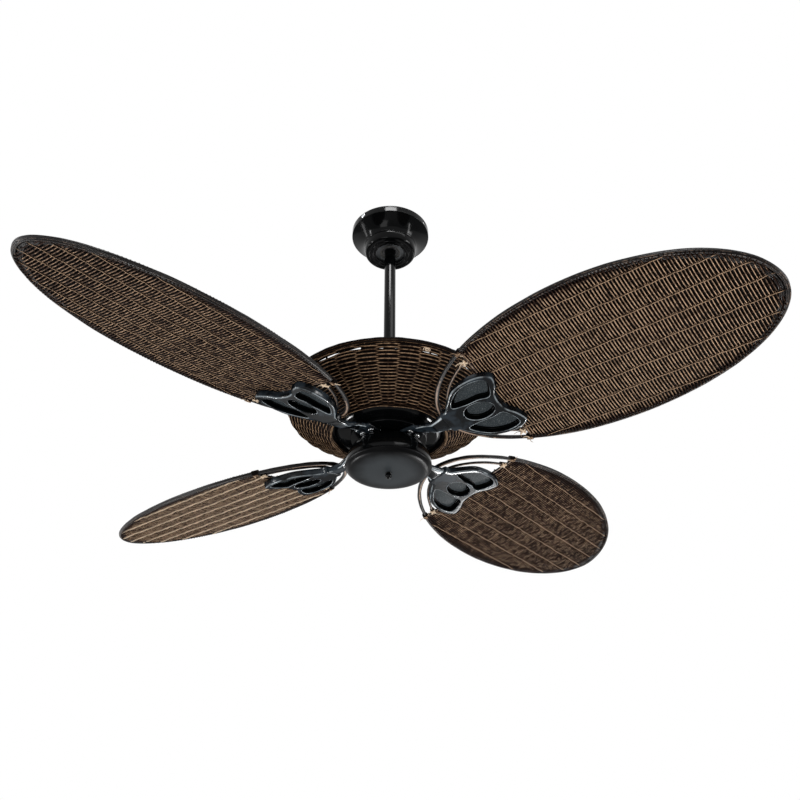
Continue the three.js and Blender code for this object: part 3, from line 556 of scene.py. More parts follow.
# For each cane, the groove colour is painted shade and the pale worn colour is painted highlight mixed with
# wear.
WEAVE = Cane(
    "dark_weave", seen(8, 4, 3), seen(76, 50, 38), seen(250, 210, 172), seen(236, 212, 184), 1.0, 0.45
)
BOWL_WEAVE = Cane(
    "bowl_weave", seen(9, 5, 4), seen(92, 67, 50), seen(208, 172, 136), seen(236, 212, 184), 0.85, 0.45
)
RATTAN = Cane(
    "dark_rattan", seen(14, 10, 10), seen(30, 23, 20), seen(212, 180, 156), seen(236, 212, 184), 0.8, 0.3, 0.16
)
FINISHES = (
    ENAMEL, CASTING, SATIN, CAP_PAINT, ZINC, STEEL, NYLON, BLACK_PLASTIC, IRON, COPPER, WEAVE, BOWL_WEAVE,
    DARK_ZINC, RATTAN,
)
Finish = Union[Enamel, Metal, Moulded, Layered, Cane, Casting]


@cache
def coated(finish: Finish) -> bpy.types.Material:
    """The one material that a finish has."""
    return finish.material()


# ---- Curves and meshes, in millimetres ----


def rounded(corners: Sequence[Corner], closed: bool, steps: int = 5) -> np.ndarray:
    """A profile whose corners are rounded.

    Args:
        corners: (radius, z, fillet) of each corner, where a fillet of 0 leaves it sharp.
        closed: whether the last corner leads back to the first.
        steps: how many points each arc adds.

    Returns:
        The profile's points.
    """
    count = len(corners)
    points = []
    for k, (radius, z, fillet) in enumerate(corners):
        here = np.array([radius, z])
        if fillet <= 0 or (not closed and k in (0, count - 1)):
            points.append(here)
            continue
        before = np.array(corners[k - 1][:2]) - here
        after = np.array(corners[(k + 1) % count][:2]) - here
        reach_before = min(fillet, 0.49 * float(np.linalg.norm(before)))
        reach_after = min(fillet, 0.49 * float(np.linalg.norm(after)))
        start = here + before / np.linalg.norm(before) * reach_before
        end = here + after / np.linalg.norm(after) * reach_after
        for share in np.linspace(0, 1, steps + 1):
            points.append((1 - share) ** 2 * start + 2 * share * (1 - share) * here + share**2 * end)
    return np.array(points)


def smooth_loop(points: Sequence[Sequence[float]], steps: int) -> np.ndarray:
    """A closed smooth curve through a few points.

    Args:
        points: the points in order.
        steps: the number of points wanted.

    Returns:
        The curve's points, evenly spread between the given ones.
    """
    knots = np.asarray(points, float)
    count = len(knots)
    places = np.arange(steps) * count / steps
    index = places.astype(int)
    share = (places - index)[:, None]
    before, here, after, beyond = (knots[(index + shift) % count] for shift in (-1, 0, 1, 2))
    slope_here = (after - before) / 2
    slope_after = (beyond - here) / 2
    cube = 2 * here - 2 * after + slope_here + slope_after
    square = -3 * here + 3 * after - 2 * slope_here - slope_after
    return ((cube * share + square) * share + slope_here) * share + here


def signed_distance(points: np.ndarray, loop: np.ndarray) -> np.ndarray:
    """How far each point lies inside a closed loop, below 0 outside.

    Args:
        points: the points to measure.
        loop: the loop's points in order.

    Returns:
        One distance for each point.
    """
    start = loop
    step = np.roll(loop, -1, axis=0) - start
    offset = points[:, None, :] - start[None]
    share = np.clip((offset * step).sum(2) / np.maximum((step**2).sum(1), 1e-12), 0, 1)
    gap = np.linalg.norm(offset - share[..., None] * step, axis=2).min(1)
    end = start + step
    crosses = (start[:, 1] > points[:, None, 1]) != (end[:, 1] > points[:, None, 1])
    rise = np.where(step[:, 1] == 0, 1e-12, step[:, 1])
    x_there = start[:, 0] + (points[:, None, 1] - start[:, 1]) / rise * step[:, 0]
    inside = (crosses & (points[:, None, 0] < x_there)).sum(1) % 2 == 1
    return np.where(inside, gap, -gap)


def baked(maker: bmesh.types.BMesh, name: str, outward: bool = False) -> bpy.types.Mesh:
    """Turns what a maker holds into a mesh, and frees the maker.

    Args:
        maker: the maker.
        name: the mesh's name.
        outward: whether the faces are turned outward first.

    Returns:
        The mesh.
    """
    if outward:
        bmesh.ops.recalc_face_normals(maker, faces=maker.faces)
    mesh = bpy.data.meshes.new(name)
    maker.to_mesh(mesh)
    maker.free()
    return mesh


def faced(mesh: bpy.types.Mesh, weld: float = 0.0) -> bpy.types.Mesh:
    """Turns a mesh's faces outward.

    Args:
        mesh: the mesh, which is changed.
        weld: corners that are closer than this are made one first.

    Returns:
        The same mesh.
    """
    maker = bmesh.new()
    maker.from_mesh(mesh)
    if weld:
        bmesh.ops.remove_doubles(maker, verts=maker.verts, dist=weld)
    bmesh.ops.recalc_face_normals(maker, faces=maker.faces)
    maker.to_mesh(mesh)
    maker.free()
    return mesh


def mark(mesh: bpy.types.Mesh, name: str, values: Sequence[float]) -> None:
    """Stores a number for each of a mesh's points."""
    mesh.attributes.new(name, "FLOAT", "POINT").data.foreach_set("value", values)


def painted_shade_sheet(mesh: bpy.types.Mesh) -> bpy.types.Mesh:
    """Marks a whole mesh as fully in painted shade, and gives it back."""
    mark(mesh, "edge", [1.0] * len(mesh.vertices))
    return mesh


def raised(flat: np.ndarray, height: Reach = 0.0) -> np.ndarray:
    """Flat points with a third coordinate, the same for all or one each."""
    return np.column_stack([flat, np.broadcast_to(height, len(flat))])


def around(radii: Reach, turns: Reach, heights: Reach) -> np.ndarray:
    """Points at these radii, turns in radians and heights about Z."""
    return np.stack(np.broadcast_arrays(radii * np.cos(turns), radii * np.sin(turns), heights), -1)


def spread(turns: np.ndarray, outward: np.ndarray, up: np.ndarray) -> np.ndarray:
    """Directions that turn from outward towards up."""
    return np.cos(turns)[:, None] * outward + np.sin(turns)[:, None] * up


def turned(profile: np.ndarray, closed: bool, sides: int = 128) -> bpy.types.Mesh:
    """Turns a profile about Z.

    Args:
        profile: [radius, z] points, from pole to pole, or a closed loop of them.
        closed: whether the profile is a loop.
        sides: the number of facets round it.

    Returns:
        A closed mesh.
    """
    maker = bmesh.new()
    turns = [2 * math.pi * side / sides for side in range(sides)]
    rows = []
    for radius, z in profile:
        if radius < 1e-6:
            rows.append([maker.verts.new((0, 0, z))] * sides)
        else:
            rows.append([maker.verts.new((radius * math.cos(a), radius * math.sin(a), z)) for a in turns])
    pairs = list(zip(rows, rows[1:])) + ([(rows[-1], rows[0])] if closed else [])
    for lower, upper in pairs:
        for side in range(sides):
            following = (side + 1) % sides
            ring = [lower[side], lower[following], upper[following], upper[side]]
            corners = list(dict.fromkeys(ring))
            if len(corners) > 2:
                maker.faces.new(corners)
    return baked(maker, "turned", True)


def lathed(corners: Sequence[Corner], steps: int = 5, sides: int = 96) -> bpy.types.Mesh:
    """A ring turned from a loop of corners, with the arguments of rounded and turned."""
    return turned(rounded(corners, True, steps), True, sides)


def skinned(rings: Sequence[np.ndarray]) -> bpy.types.Mesh:
    """Skins a row of rings that have the same number of points, and closes both ends.

    Args:
        rings: the rings, in order.

    Returns:
        A closed mesh.
    """
    maker = bmesh.new()
    rows = [[maker.verts.new(point) for point in ring] for ring in rings]
    count = len(rows[0])
    for lower, upper in zip(rows, rows[1:]):
        for k in range(count):
            following = (k + 1) % count
            maker.faces.new([lower[k], lower[following], upper[following], upper[k]])
    maker.faces.new(rows[0][::-1])
    maker.faces.new(rows[-1])
    return baked(maker, "skinned", True)


def block(size: Sequence[float], centre: Sequence[float], bevel: float, sides: int = 3) -> bpy.types.Mesh:
    """A box with rounded edges.

    Args:
        size: its three sizes.
        centre: its middle.
        bevel: the edges' rounding.
        sides: the facets across each rounded edge.

    Returns:
        The box.
    """
    maker = bmesh.new()
    bmesh.ops.create_cube(maker, size=1.0)
    bmesh.ops.scale(maker, vec=size, verts=maker.verts)
    bmesh.ops.translate(maker, vec=centre, verts=maker.verts)
    bmesh.ops.bevel(
        maker, geom=maker.edges[:], offset=bevel, segments=sides, profile=0.5, affect="EDGES"
    )
    return baked(maker, "block")


def joined(meshes: Sequence[bpy.types.Mesh]) -> bpy.types.Mesh:
    """Puts several meshes into one and frees them.

    Args:
        meshes: the meshes.

    Returns:
        The whole.
    """
    maker = bmesh.new()
    for mesh in meshes:
        maker.from_mesh(mesh)
        bpy.data.meshes.remove(mesh)
    return baked(maker, "joined")


def moved(mesh: bpy.types.Mesh, matrix: Matrix) -> bpy.types.Mesh:
    """A copy of a mesh in another place.

    Args:
        mesh: the mesh, which stays as it is.
        matrix: where the copy goes.

    Returns:
        The copy.
    """
    copy = mesh.copy()
    copy.transform(matrix)
    return copy


def plain_mesh(thing: bpy.types.Object) -> bpy.types.Mesh:
    """The mesh that an object's modifiers make, after which the object is deleted.

    Args:
        thing: the object.

    Returns:
        The mesh.
    """
    graph = bpy.context.evaluated_depsgraph_get()
    mesh = bpy.data.meshes.new_from_object(
        thing.evaluated_get(graph), preserve_all_data_layers=True, depsgraph=graph
    )
    bpy.data.objects.remove(thing)
    return mesh


def bored(mesh: bpy.types.Mesh, tools: Sequence[bpy.types.Mesh]) -> bpy.types.Mesh:
    """Cuts other meshes out of a mesh.

    Args:
        mesh: the mesh to cut.
        tools: what is cut out of it.

    Returns:
        The cut mesh.
    """
    thing = bpy.data.objects.new("bored", mesh)
    cutter = bpy.data.objects.new("cutter", joined(tools))
    for made in (thing, cutter):
        bpy.context.scene.collection.objects.link(made)
    cut = thing.modifiers.new("cut", "BOOLEAN")
    cut.operation = "DIFFERENCE"
    cut.solver = "EXACT"
    cut.object = cutter
    result = plain_mesh(thing)
    bpy.data.objects.remove(cutter)
    return result


def piece(
    name: str,
    mesh: bpy.types.Mesh,
    finish: Finish,
    body: Body,
    stands_for: Sequence[str],
    sharp_deg: float = 38.0,
) -> bpy.types.Object:
    """Makes a finished piece of the fan from a mesh in millimetres.

    Args:
        name: the piece's name.
        mesh: its mesh, in place.
        finish: its finish.
        body: the body that carries it.
        stands_for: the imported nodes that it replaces.
        sharp_deg: the angle past which an edge stays sharp.

    Returns:
        The piece.
    """
    mesh.name = name
    mesh.transform(TO_METRES)
    mesh.materials.clear()
    mesh.materials.append(coated(finish))
    mesh.shade_smooth()
    mesh.set_sharp_from_angle(angle=math.radians(sharp_deg))
    thing = bpy.data.objects.new(name, mesh)
    bpy.context.scene.collection.objects.link(thing)
    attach(thing, body.value)
    if stands_for:
        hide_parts(*stands_for)
    log.info("%s: %d faces on %s", name, len(mesh.polygons), body.value)
    return thing


# ---- Strands ----


@dataclass
class Guides:
    """Lines that strands follow, with what each point carries."""

    points: list = field(default_factory=list)
    edges: list = field(default_factory=list)
    carried: dict = field(default_factory=lambda: {"phase": [], "girth": [], "tone": [], "edge": []})
    lifts: list = field(default_factory=list)

    def line(
        self,
        points: np.ndarray,
        girth: Union[float, np.ndarray],
        phase: Union[float, np.ndarray] = 0.5,
        lift: Union[Sequence[float], np.ndarray] = (0.0, 0.0, 1.0),
        tone: Union[float, np.ndarray] = 0.3,
        edge: Union[float, np.ndarray] = 0.0,
        closed: bool = False,
    ) -> None:
        """Adds one line.

        Args:
            points: its points.
            girth: the strand's radius, for all points or for each.
            phase: the place in the weave's wave, in half turns.
            lift: the direction in which the wave lifts the strand.
            tone: the strand's lightness, where 1 is raw cane.
            edge: how much the strand is darkened, from 0 to 1: painted shade near a border, and the stakes'
                darkness.
            closed: whether the line is a loop.
        """
        first = len(self.points)
        count = len(points)
        self.points.extend(points.tolist())
        self.edges.extend((first + k, first + k + 1) for k in range(count - 1))
        if closed:
            self.edges.append((first + count - 1, first))
        for name, value in (("phase", phase), ("girth", girth), ("tone", tone), ("edge", edge)):
            self.carried[name].extend(np.broadcast_to(value, count).tolist())
        self.lifts.extend(np.broadcast_to(lift, (count, 3)).ravel().tolist())

    def mesh(self) -> bpy.types.Mesh:
        """The lines as a mesh of edges.

        Returns:
            A mesh without faces.
        """
        mesh = bpy.data.meshes.new("guides")
        mesh.from_pydata(self.points, self.edges, [])
        for name, values in self.carried.items():
            mark(mesh, name, values)
        mesh.attributes.new("lift", "FLOAT_VECTOR", "POINT").data.foreach_set("vector", self.lifts)
        return mesh


class StrandTree:
    """A Geometry Nodes tree that lays round strands along guide lines and weaves them in and out."""

    SIZES = (
        ("Wave Height", "NodeSocketFloat", 0.0),
        ("Wobble", "NodeSocketFloat", 0.0),
        ("Wobble Scale", "NodeSocketFloat", 0.03),
        ("Seed", "NodeSocketFloat", 1.0),
        ("Sides", "NodeSocketInt", 6),
        ("Flatness", "NodeSocketFloat", 1.0),
        ("Material", "NodeSocketMaterial", None),
    )
    CARRIED = ("phase", "girth", "lift")

    def __init__(self) -> None:
        """Builds the tree."""
        self.tree = bpy.data.node_groups.new("woven_strands", "GeometryNodeTree")
        self.tree.is_modifier = True
        sheet = Sheet(self.tree)
        interface = self.tree.interface
        interface.new_socket("Geometry", in_out="INPUT", socket_type="NodeSocketGeometry")
        interface.new_socket("Geometry", in_out="OUTPUT", socket_type="NodeSocketGeometry")
        self.inputs = {}
        for name, kind, default in self.SIZES:
            socket = interface.new_socket(name, in_out="INPUT", socket_type=kind)
            if default is not None:
                socket.default_value = default
            self.inputs[name] = socket.identifier
        self._fill(sheet)

    def _fill(self, sheet: Sheet) -> None:
        """Adds the tree's nodes.

        Args:
            sheet: the empty tree.
        """
        group = sheet.add("NodeGroupInput")
        given = {socket.name: Wire(sheet, socket) for socket in group.outputs if socket.name}
        phase = self._carried(sheet, "phase", "FLOAT")
        girth = self._carried(sheet, "girth", "FLOAT")
        lift = self._carried(sheet, "lift", "FLOAT_VECTOR")
        swing = (phase * math.pi).cosine()
        height = swing * (1.5 - 0.5 * swing * swing) * given["Wave Height"]
        wave = sheet.out("ShaderNodeVectorMath", {"operation": "SCALE"}, {0: lift, "Scale": height})
        place = sheet.out("GeometryNodeInputPosition")
        noise = sheet.out(
            "ShaderNodeTexNoise",
            {"noise_dimensions": "4D"},
            {"Vector": place, "W": given["Seed"], "Scale": given["Wobble Scale"], "Detail": 2.0},
            1,
        )
        centred = sheet.out("ShaderNodeVectorMath", {"operation": "SUBTRACT"}, {0: noise, 1: (0.5, 0.5, 0.5)})
        sway = sheet.out("ShaderNodeVectorMath", {"operation": "SCALE"}, {0: centred, "Scale": given["Wobble"]})
        offset = sheet.out("ShaderNodeVectorMath", {"operation": "ADD"}, {0: wave, 1: sway})
        woven = sheet.out("GeometryNodeSetPosition", None, {"Geometry": given["Geometry"], "Offset": offset})
        curve = sheet.out("GeometryNodeMeshToCurve", None, {0: woven})
        upright = sheet.out("GeometryNodeSetCurveNormal", {"mode": "MINIMUM_TWIST"}, {"Curve": curve})
        feeds = {0: given["Sides"], "Radius": 1.0}
        circle = sheet.out("GeometryNodeCurvePrimitiveCircle", {"mode": "RADIUS"}, feeds)
        squash = sheet.out("ShaderNodeCombineXYZ", None, {0: given["Flatness"], 1: 1.0, 2: 1.0})
        section = sheet.out("GeometryNodeTransform", None, {"Geometry": circle, "Scale": squash})
        strand = sheet.out(
            "GeometryNodeCurveToMesh",
            None,
            {"Curve": upright, "Profile Curve": section, "Scale": girth, "Fill Caps": True},
        )
        facing = sheet.out(
            "ShaderNodeVectorMath",
            {"operation": "DOT_PRODUCT"},
            {0: sheet.out("GeometryNodeInputNormal"), 1: lift},
            1,
        )
        # The mark stored here paints light. It is near 1 where the surface faces straight out of the weave and
        # the strand stands out, and it is raised near the crossings as a painted highlight. The cane finish
        # turns it into painted shade and painted highlight.
        crossing_highlight = (1 - swing.size().step(0.1, 0.6)) * 0.45
        shade_and_highlight = facing.size() * ((height + girth * facing).size() / girth + crossing_highlight).least(1.0)
        marked = sheet.out(
            "GeometryNodeStoreNamedAttribute",
            {"data_type": "FLOAT", "domain": "POINT"},
            {"Geometry": strand, "Name": "shade_and_highlight", "Value": shade_and_highlight},
        )
        smooth = sheet.out("GeometryNodeSetShadeSmooth", None, {"Geometry": marked})
        whole = sheet.out("GeometryNodeRealizeInstances", None, {"Geometry": smooth})
        dressed = sheet.out(
            "GeometryNodeSetMaterial", None, {"Geometry": whole, "Material": given["Material"]}
        )
        sheet.add("NodeGroupOutput", None, {0: dressed})

    @staticmethod
    def _carried(sheet: Sheet, name: str, kind: str) -> Wire:
        """What the guide points carry under a name."""
        return sheet.out("GeometryNodeInputNamedAttribute", {"data_type": kind}, {"Name": name})

    def lay(self, guides: Guides, finish: Finish, **sizes: Any) -> bpy.types.Mesh:
        """Lays strands along guide lines.

        Args:
            guides: the lines.
            finish: the strands' finish.
            sizes: the tree's inputs, named with _ for each space.

        Returns:
            The strands as a plain mesh.
        """
        thing = bpy.data.objects.new("strands", guides.mesh())
        modifier = thing.modifiers.new("strands", "NODES")
        modifier.node_group = self.tree
        modifier[self.inputs["Material"]] = coated(finish)
        for name, value in sizes.items():
            modifier[self.inputs[name.replace("_", " ")]] = value
        bpy.context.scene.collection.objects.link(thing)
        mesh = plain_mesh(thing)
        for name in self.CARRIED:
            if name in mesh.attributes:
                mesh.attributes.remove(mesh.attributes[name])
        return faced(mesh)


# ---- Blades ----


@dataclass(frozen=True)
class BladeOutline:
    """The blade's outline in its own plane: nearly an ellipse, fuller towards its tip."""

    start: float = 103.0
    reach: float = 600.0
    half_width: float = 124.0
    offset: float = -3.6
    skew: float = 0.048
    power: float = 1.056
    tip_swell: float = 0.018
    tip_swell_skew: float = 0.022
    end_swell: float = 0.017

    def point(self, angle: Union[float, np.ndarray], inset: float) -> np.ndarray:
        """A point of the outline, or several.

        Args:
            angle: where on the outline, in radians, from the tip.
            inset: how far inside.

        Returns:
            [out, across] for each angle.
        """
        along, aside = np.cos(angle), np.sin(angle)
        side = np.sign(aside)
        swell = 1 + (self.tip_swell - self.tip_swell_skew * side) * along + self.end_swell * along**2
        half = self.half_width * (1 - self.skew * side) - inset
        out = (self.start + self.reach) / 2 + ((self.reach - self.start) / 2 - inset) * along
        return np.stack([out, half * side * np.abs(aside) ** self.power * swell + self.offset], -1)

    def angle_at(self, out: float, inset: float) -> float:
        """The angle at which the outline is so far out, on its upper side."""
        share = (out - (self.start + self.reach) / 2) / ((self.reach - self.start) / 2 - inset)
        return math.acos(max(-1.0, min(1.0, share)))

    def frame_at(self, angle: float, inset: float) -> tuple[np.ndarray, np.ndarray, np.ndarray]:
        """A point of the outline with its tangent and its outward normal, in three dimensions.

        Args:
            angle: where on the outline, in radians, from the tip.
            inset: how far inside.

        Returns:
            The point, the tangent and the normal.
        """
        step = 0.004
        here = self.point(angle, inset)
        tangent = self.point(angle + step, inset) - self.point(angle - step, inset)
        tangent /= np.linalg.norm(tangent)
        return (
            np.array([*here, 0.0]),
            np.array([*tangent, 0.0]),
            np.array([tangent[1], -tangent[0], 0.0]),
        )


@dataclass
class WovenBlade:
    """One blade: a cane border, an inner loop, and a panel woven over long stakes."""

    number: int
    place: Matrix
    strands: StrandTree
    # Set per blade: these tones also paint the light that each blade gets.
    weft_tone: float
    cord_tone: float
    cord_radius: float
    outline: BladeOutline = field(default_factory=BladeOutline)
    pole_radius: float = 3.3
    bundle_orbit: float = 2.5
    bundle_radius: float = 1.0
    pole_inset: float = 3.9
    wrap_gap: float = 0.3
    loop_radius: float = 2.1
    loop_inset: float = 20.0
    weave_start: float = 200.0
    stake_count: int = 9
    stake_spacing: float = 28.2
    stake_shift: float = -7.1
    stake_radius: float = 1.5
    cord_height: float = 2.0
    weft_radius: float = 1.3
    weft_pitch: float = 2.25
    wave_height: float = 1.75
    tip_margin: float = 7.0
    edge_strands: tuple = ((9.4, -1.25, 0.75, 1.1), (11.6, -0.95, 0.5, 1.5), (13.9, -0.6, 0.3, 1.2))

    def _phase(self, across: np.ndarray, row: int) -> np.ndarray:
        """Where a row is in its wave: over one stake, under the next."""
        return (across - self.stake_shift) / self.stake_spacing + row

    def _wrap(self, angle: float, over: float) -> np.ndarray:
        """The end of a row, which bends over the border's inner side and is tucked in there.

        Args:
            angle: where on the outline.
            over: 1 if it goes over the border, -1 if under.

        Returns:
            Its points, from the inside out.
        """
        centre, _, outward = self.outline.frame_at(angle, self.pole_inset)
        turn = np.radians(np.array([152.0, 124.0, 98.0, 74.0]))
        orbit = self.pole_radius - self.wrap_gap - np.array([0.0, 0.0, 0.2, 1.2])
        return centre + orbit[:, None] * spread(turn, outward, over * UP)

    def _wefts(self, dice: np.random.Generator) -> Guides:
        """The rows that go over and under the stakes, from border to border.

        Args:
            dice: the source of the rows' small differences.

        Returns:
            The rows.
        """
        guides = Guides()
        last = self.outline.reach - self.pole_inset - self.tip_margin
        for row, out in enumerate(np.arange(self.weave_start + 2.5, last, self.weft_pitch)):
            out += dice.normal(0, 0.14)
            angle = self.outline.angle_at(out, self.pole_inset)
            ends = [self.outline.frame_at(sign * angle, self.pole_inset) for sign in (-1, 1)]
            gap = self.pole_radius + 1.2
            low, high = ends[0][0][1] + gap, ends[1][0][1] - gap
            if high - low < 8:
                continue
            steps = max(6, int((high - low) / 3.8))
            across = np.linspace(low, high, steps)
            line = raised(np.stack([np.full(steps, out), across], 1))
            phase = self._phase(across, row)
            if abs(ends[1][1][0]) > 0.35:
                sides = np.sign(np.cos(math.pi * phase[[0, -1]]))
                first = self._wrap(-angle, sides[0])[::-1]
                final = self._wrap(angle, sides[1])
                line = np.concatenate([first, line, final])
                phase = np.pad(phase, (len(first), len(final)), constant_values=0.5)
            # Rows darken towards the borders and the tip: painted shade.
            edge = np.clip(1 - np.minimum(line[:, 1] - low, high - line[:, 1]) / 9, 0, 1) * 0.8
            edge = np.maximum(edge, np.clip((out - last) / 16 + 1, 0, 1) * 0.9)
            tone = float(np.clip(dice.normal(self.weft_tone, 0.06), 0.0, 0.8))
            guides.line(line, self.weft_radius * dice.uniform(0.9, 1.07), phase, tone=tone, edge=edge)
        return guides

    def _stakes(self, dice: np.random.Generator) -> Guides:
        """The long stakes that the rows are woven over.

        Args:
            dice: the source of their girths.

        Returns:
            The stakes.
        """
        guides = Guides()
        for k in range(self.stake_count):
            line = self._lengthwise(self.stake_shift + (k - (self.stake_count - 1) / 2) * self.stake_spacing)
            if line is not None:
                guides.line(line, self.stake_radius * dice.uniform(0.95, 1.1), tone=0.0, edge=1.0)
        return guides

    def _lengthwise(self, across: float) -> Optional[np.ndarray]:
        """A line along the panel at a distance across it, or nothing where the blade is too narrow.

        Args:
            across: the distance across the panel.

        Returns:
            The line's points, if it has any.
        """
        angles = np.linspace(0, math.pi, 600)
        sign = 1.0 if across > self.outline.offset else -1.0
        edge = self.outline.point(sign * angles, self.pole_inset)
        wide = edge[np.abs(edge[:, 1] - self.outline.offset) >= abs(across - self.outline.offset), 0]
        if not len(wide):
            return None
        out = np.linspace(max(self.weave_start - 4, wide.min() + 2), wide.max() - 2, 60)
        return raised(np.column_stack([out, np.full(60, across)]))

    def _cords(self, dice: np.random.Generator) -> Guides:
        """The thin pale cords along both faces, in the creases between the stakes.

        Args:
            dice: the source of their tones.

        Returns:
            The cords.
        """
        guides = Guides()
        for k in range(self.stake_count + 1):
            line = self._lengthwise(self.stake_shift + (k - self.stake_count / 2) * self.stake_spacing)
            if line is None:
                continue
            for face in (-1, 1):
                tone = self.cord_tone * dice.uniform(0.96, 1.0, 60)
                guides.line(line + face * self.cord_height * UP, self.cord_radius, tone=tone)
        return guides

    def _shade_sheet(self) -> bpy.types.Mesh:
        """A dark sheet, painted shade, that fills the middle of the panel between its two faces of rows.

        Returns:
            A flat closed mesh.
        """
        end = self.outline.angle_at(self.weave_start, self.pole_inset)
        rim = self.outline.point(np.linspace(-end, end, 140), self.pole_inset + 1)
        return painted_shade_sheet(skinned([raised(rim, -SHADE_SHEET_HALF), raised(rim, SHADE_SHEET_HALF)]))

    def _border(self) -> Guides:
        """The border pole, the strands that lie along it, and the bar where the weave starts.

        Returns:
            The border's strands.
        """
        guides = Guides()
        angles = np.linspace(0, 2 * math.pi, 200, endpoint=False)
        swell = 1 + 0.03 * np.sin(angles * 23) + 0.03 * np.sin(angles * 37 + 1)
        bare = np.clip(-4 * (np.cos(angles) + 0.66), 0, 1)
        ring = raised(self.outline.point(angles, self.pole_inset))
        girth = (self.pole_radius - 0.5 * (1 - bare)) * swell
        # The wrapped stretch of the pole is darkened as painted shade; the bare stretch's higher tone brings out
        # its painted highlight line.
        guides.line(ring, girth, 0.0, tone=0.05 + 0.6 * bare, edge=1 - bare, closed=True)
        wrapped = np.radians(np.linspace(-128, 128, 150))
        pole = raised(self.outline.point(wrapped, self.pole_inset))
        outward = around(1.0, wrapped, 0.0)
        for k in range(6):
            turn = math.radians(30 + 60 * k) + 0.25 * np.sin(7 * wrapped + k)
            strand = pole + self.bundle_orbit * np.cos(turn)[:, None] * outward
            strand[:, 2] += self.bundle_orbit * np.sin(turn)
            guides.line(strand, self.bundle_radius, 0.0, tone=0.12 + 0.1 * (k % 3), edge=0.3)
        for inset, first, last, height in self.edge_strands:
            run = np.linspace(first, last, 60)
            for face in (-1, 1):
                line = raised(self.outline.point(run, inset), face * height * np.cos(run * 19))
                guides.line(line, 1.2, tone=0.2, edge=0.75)
        angle = self.outline.angle_at(self.weave_start, self.pole_inset)
        low, high = (self.outline.point(sign * angle, self.pole_inset)[1] for sign in (-1, 1))
        across = np.linspace(low, high, 30)
        bar = np.stack([np.full(len(across), self.weave_start), across], 1)
        guides.line(raised(bar, 0.4), 1.9, tone=0.35)
        return guides

    def _inner_loop(self) -> Guides:
        """The thinner loop inside the border, bare from one end of the weave to the other.

        Returns:
            The loop.
        """
        guides = Guides()
        end = self.outline.angle_at(self.weave_start + 4, self.loop_inset)
        angles = np.linspace(end, 2 * math.pi - end, 70)
        flat = self.outline.point(angles, self.loop_inset)
        swell = 1 + 0.05 * np.sin(angles * 17)
        # Its tone brings out a painted highlight line along the loop.
        guides.line(raised(flat), self.loop_radius * swell, 0.0, tone=0.45)
        return guides

    def _lashing(self, guides: Guides, angle: float, inset: float, radius: float, tone: float) -> None:
        """Winds a few turns of split cane round a pole.

        Args:
            guides: where the winding goes.
            angle: where on the outline.
            inset: how far inside it the pole lies.
            radius: the pole's radius.
            tone: the winding's lightness.
        """
        centre, tangent, outward = self.outline.frame_at(angle, inset)
        turns = np.linspace(0, 2 * math.pi * 5.5, 66)
        along = np.linspace(-5.0, 5.0, len(turns))[:, None] * tangent
        guides.line(centre + along + (radius + 0.7) * spread(turns, outward, UP), 0.95, tone=tone)

    def _frays(self, guides: Guides, centre: np.ndarray, dice: np.random.Generator, count: int) -> None:
        """Adds short raw ends of cane that stick out of a tie.

        Args:
            guides: where they go.
            centre: the tie's middle.
            dice: the source of their directions.
            count: how many there are.
        """
        for _ in range(count):
            heading = dice.uniform(0, 2 * math.pi)
            aim = np.array([math.cos(heading), math.sin(heading), dice.uniform(-0.5, 0.1)])
            side = np.array([-aim[1], aim[0], dice.uniform(-0.6, 0.3)])
            share = np.linspace(0, 1, 9)[:, None]
            length = dice.uniform(6, 12)
            line = centre + share * length * aim + np.sin(share * 2.4) * 3.5 * side
            line[:, 2] -= 3.0
            girth = np.linspace(0.8, 0.4, 9) * dice.uniform(0.7, 1.1)
            guides.line(line, girth, tone=1.0 if dice.random() < 0.6 else 0.8)

    def _ties(self, dice: np.random.Generator) -> Guides:
        """The lashings and raw ends where the weave starts.

        Args:
            dice: the source of the raw ends' directions.

        Returns:
            The ties.
        """
        guides = Guides()
        for sign in (-1.0, 1.0):
            border = self.outline.angle_at(self.weave_start - 3, self.pole_inset)
            loop = self.outline.angle_at(self.weave_start - 5, self.loop_inset)
            self._lashing(guides, sign * border, self.pole_inset, self.pole_radius, 0.5)
            self._lashing(guides, sign * loop, self.loop_inset, self.loop_radius, 0.8)
            knot = self.outline.frame_at(sign * loop, self.loop_inset)[0]
            self._frays(guides, knot, dice, 2)
            self._frays(guides, self.outline.frame_at(sign * border, self.pole_inset)[0], dice, 2)
            for first, last in (((-5.0, 3.0), (5.0, -1.5)), ((-1.5, -5.0), (2.5, 5.0))):
                ends = [(first[0], first[1] * sign, -3.2), (last[0], last[1] * sign, -3.8)]
                guides.line(knot + np.array(ends), 1.4, tone=1.0)
            angle = self.outline.angle_at(self.weave_start - 3, 0)
            low, high = self.loop_inset + 2, self.pole_inset + 2
            insets = np.linspace(low, high, 16)
            bridge = np.array([self.outline.point(sign * angle, float(inset)) for inset in insets])
            bow = np.sin(np.linspace(0, math.pi, 16)) * 2.0
            guides.line(raised(bridge, bow - 2), 1.2, tone=0.6)
        return guides

    def build(self) -> None:
        """Builds and dresses the blade's pieces."""
        dice = np.random.default_rng(40 + self.number)

        def lay(guides: Guides, finish: Finish, sides: int, **sizes: float) -> bpy.types.Mesh:
            """Lays strands with this blade's own seed."""
            return self.strands.lay(guides, finish, Seed=3.7 * self.number, Sides=sides, **sizes)

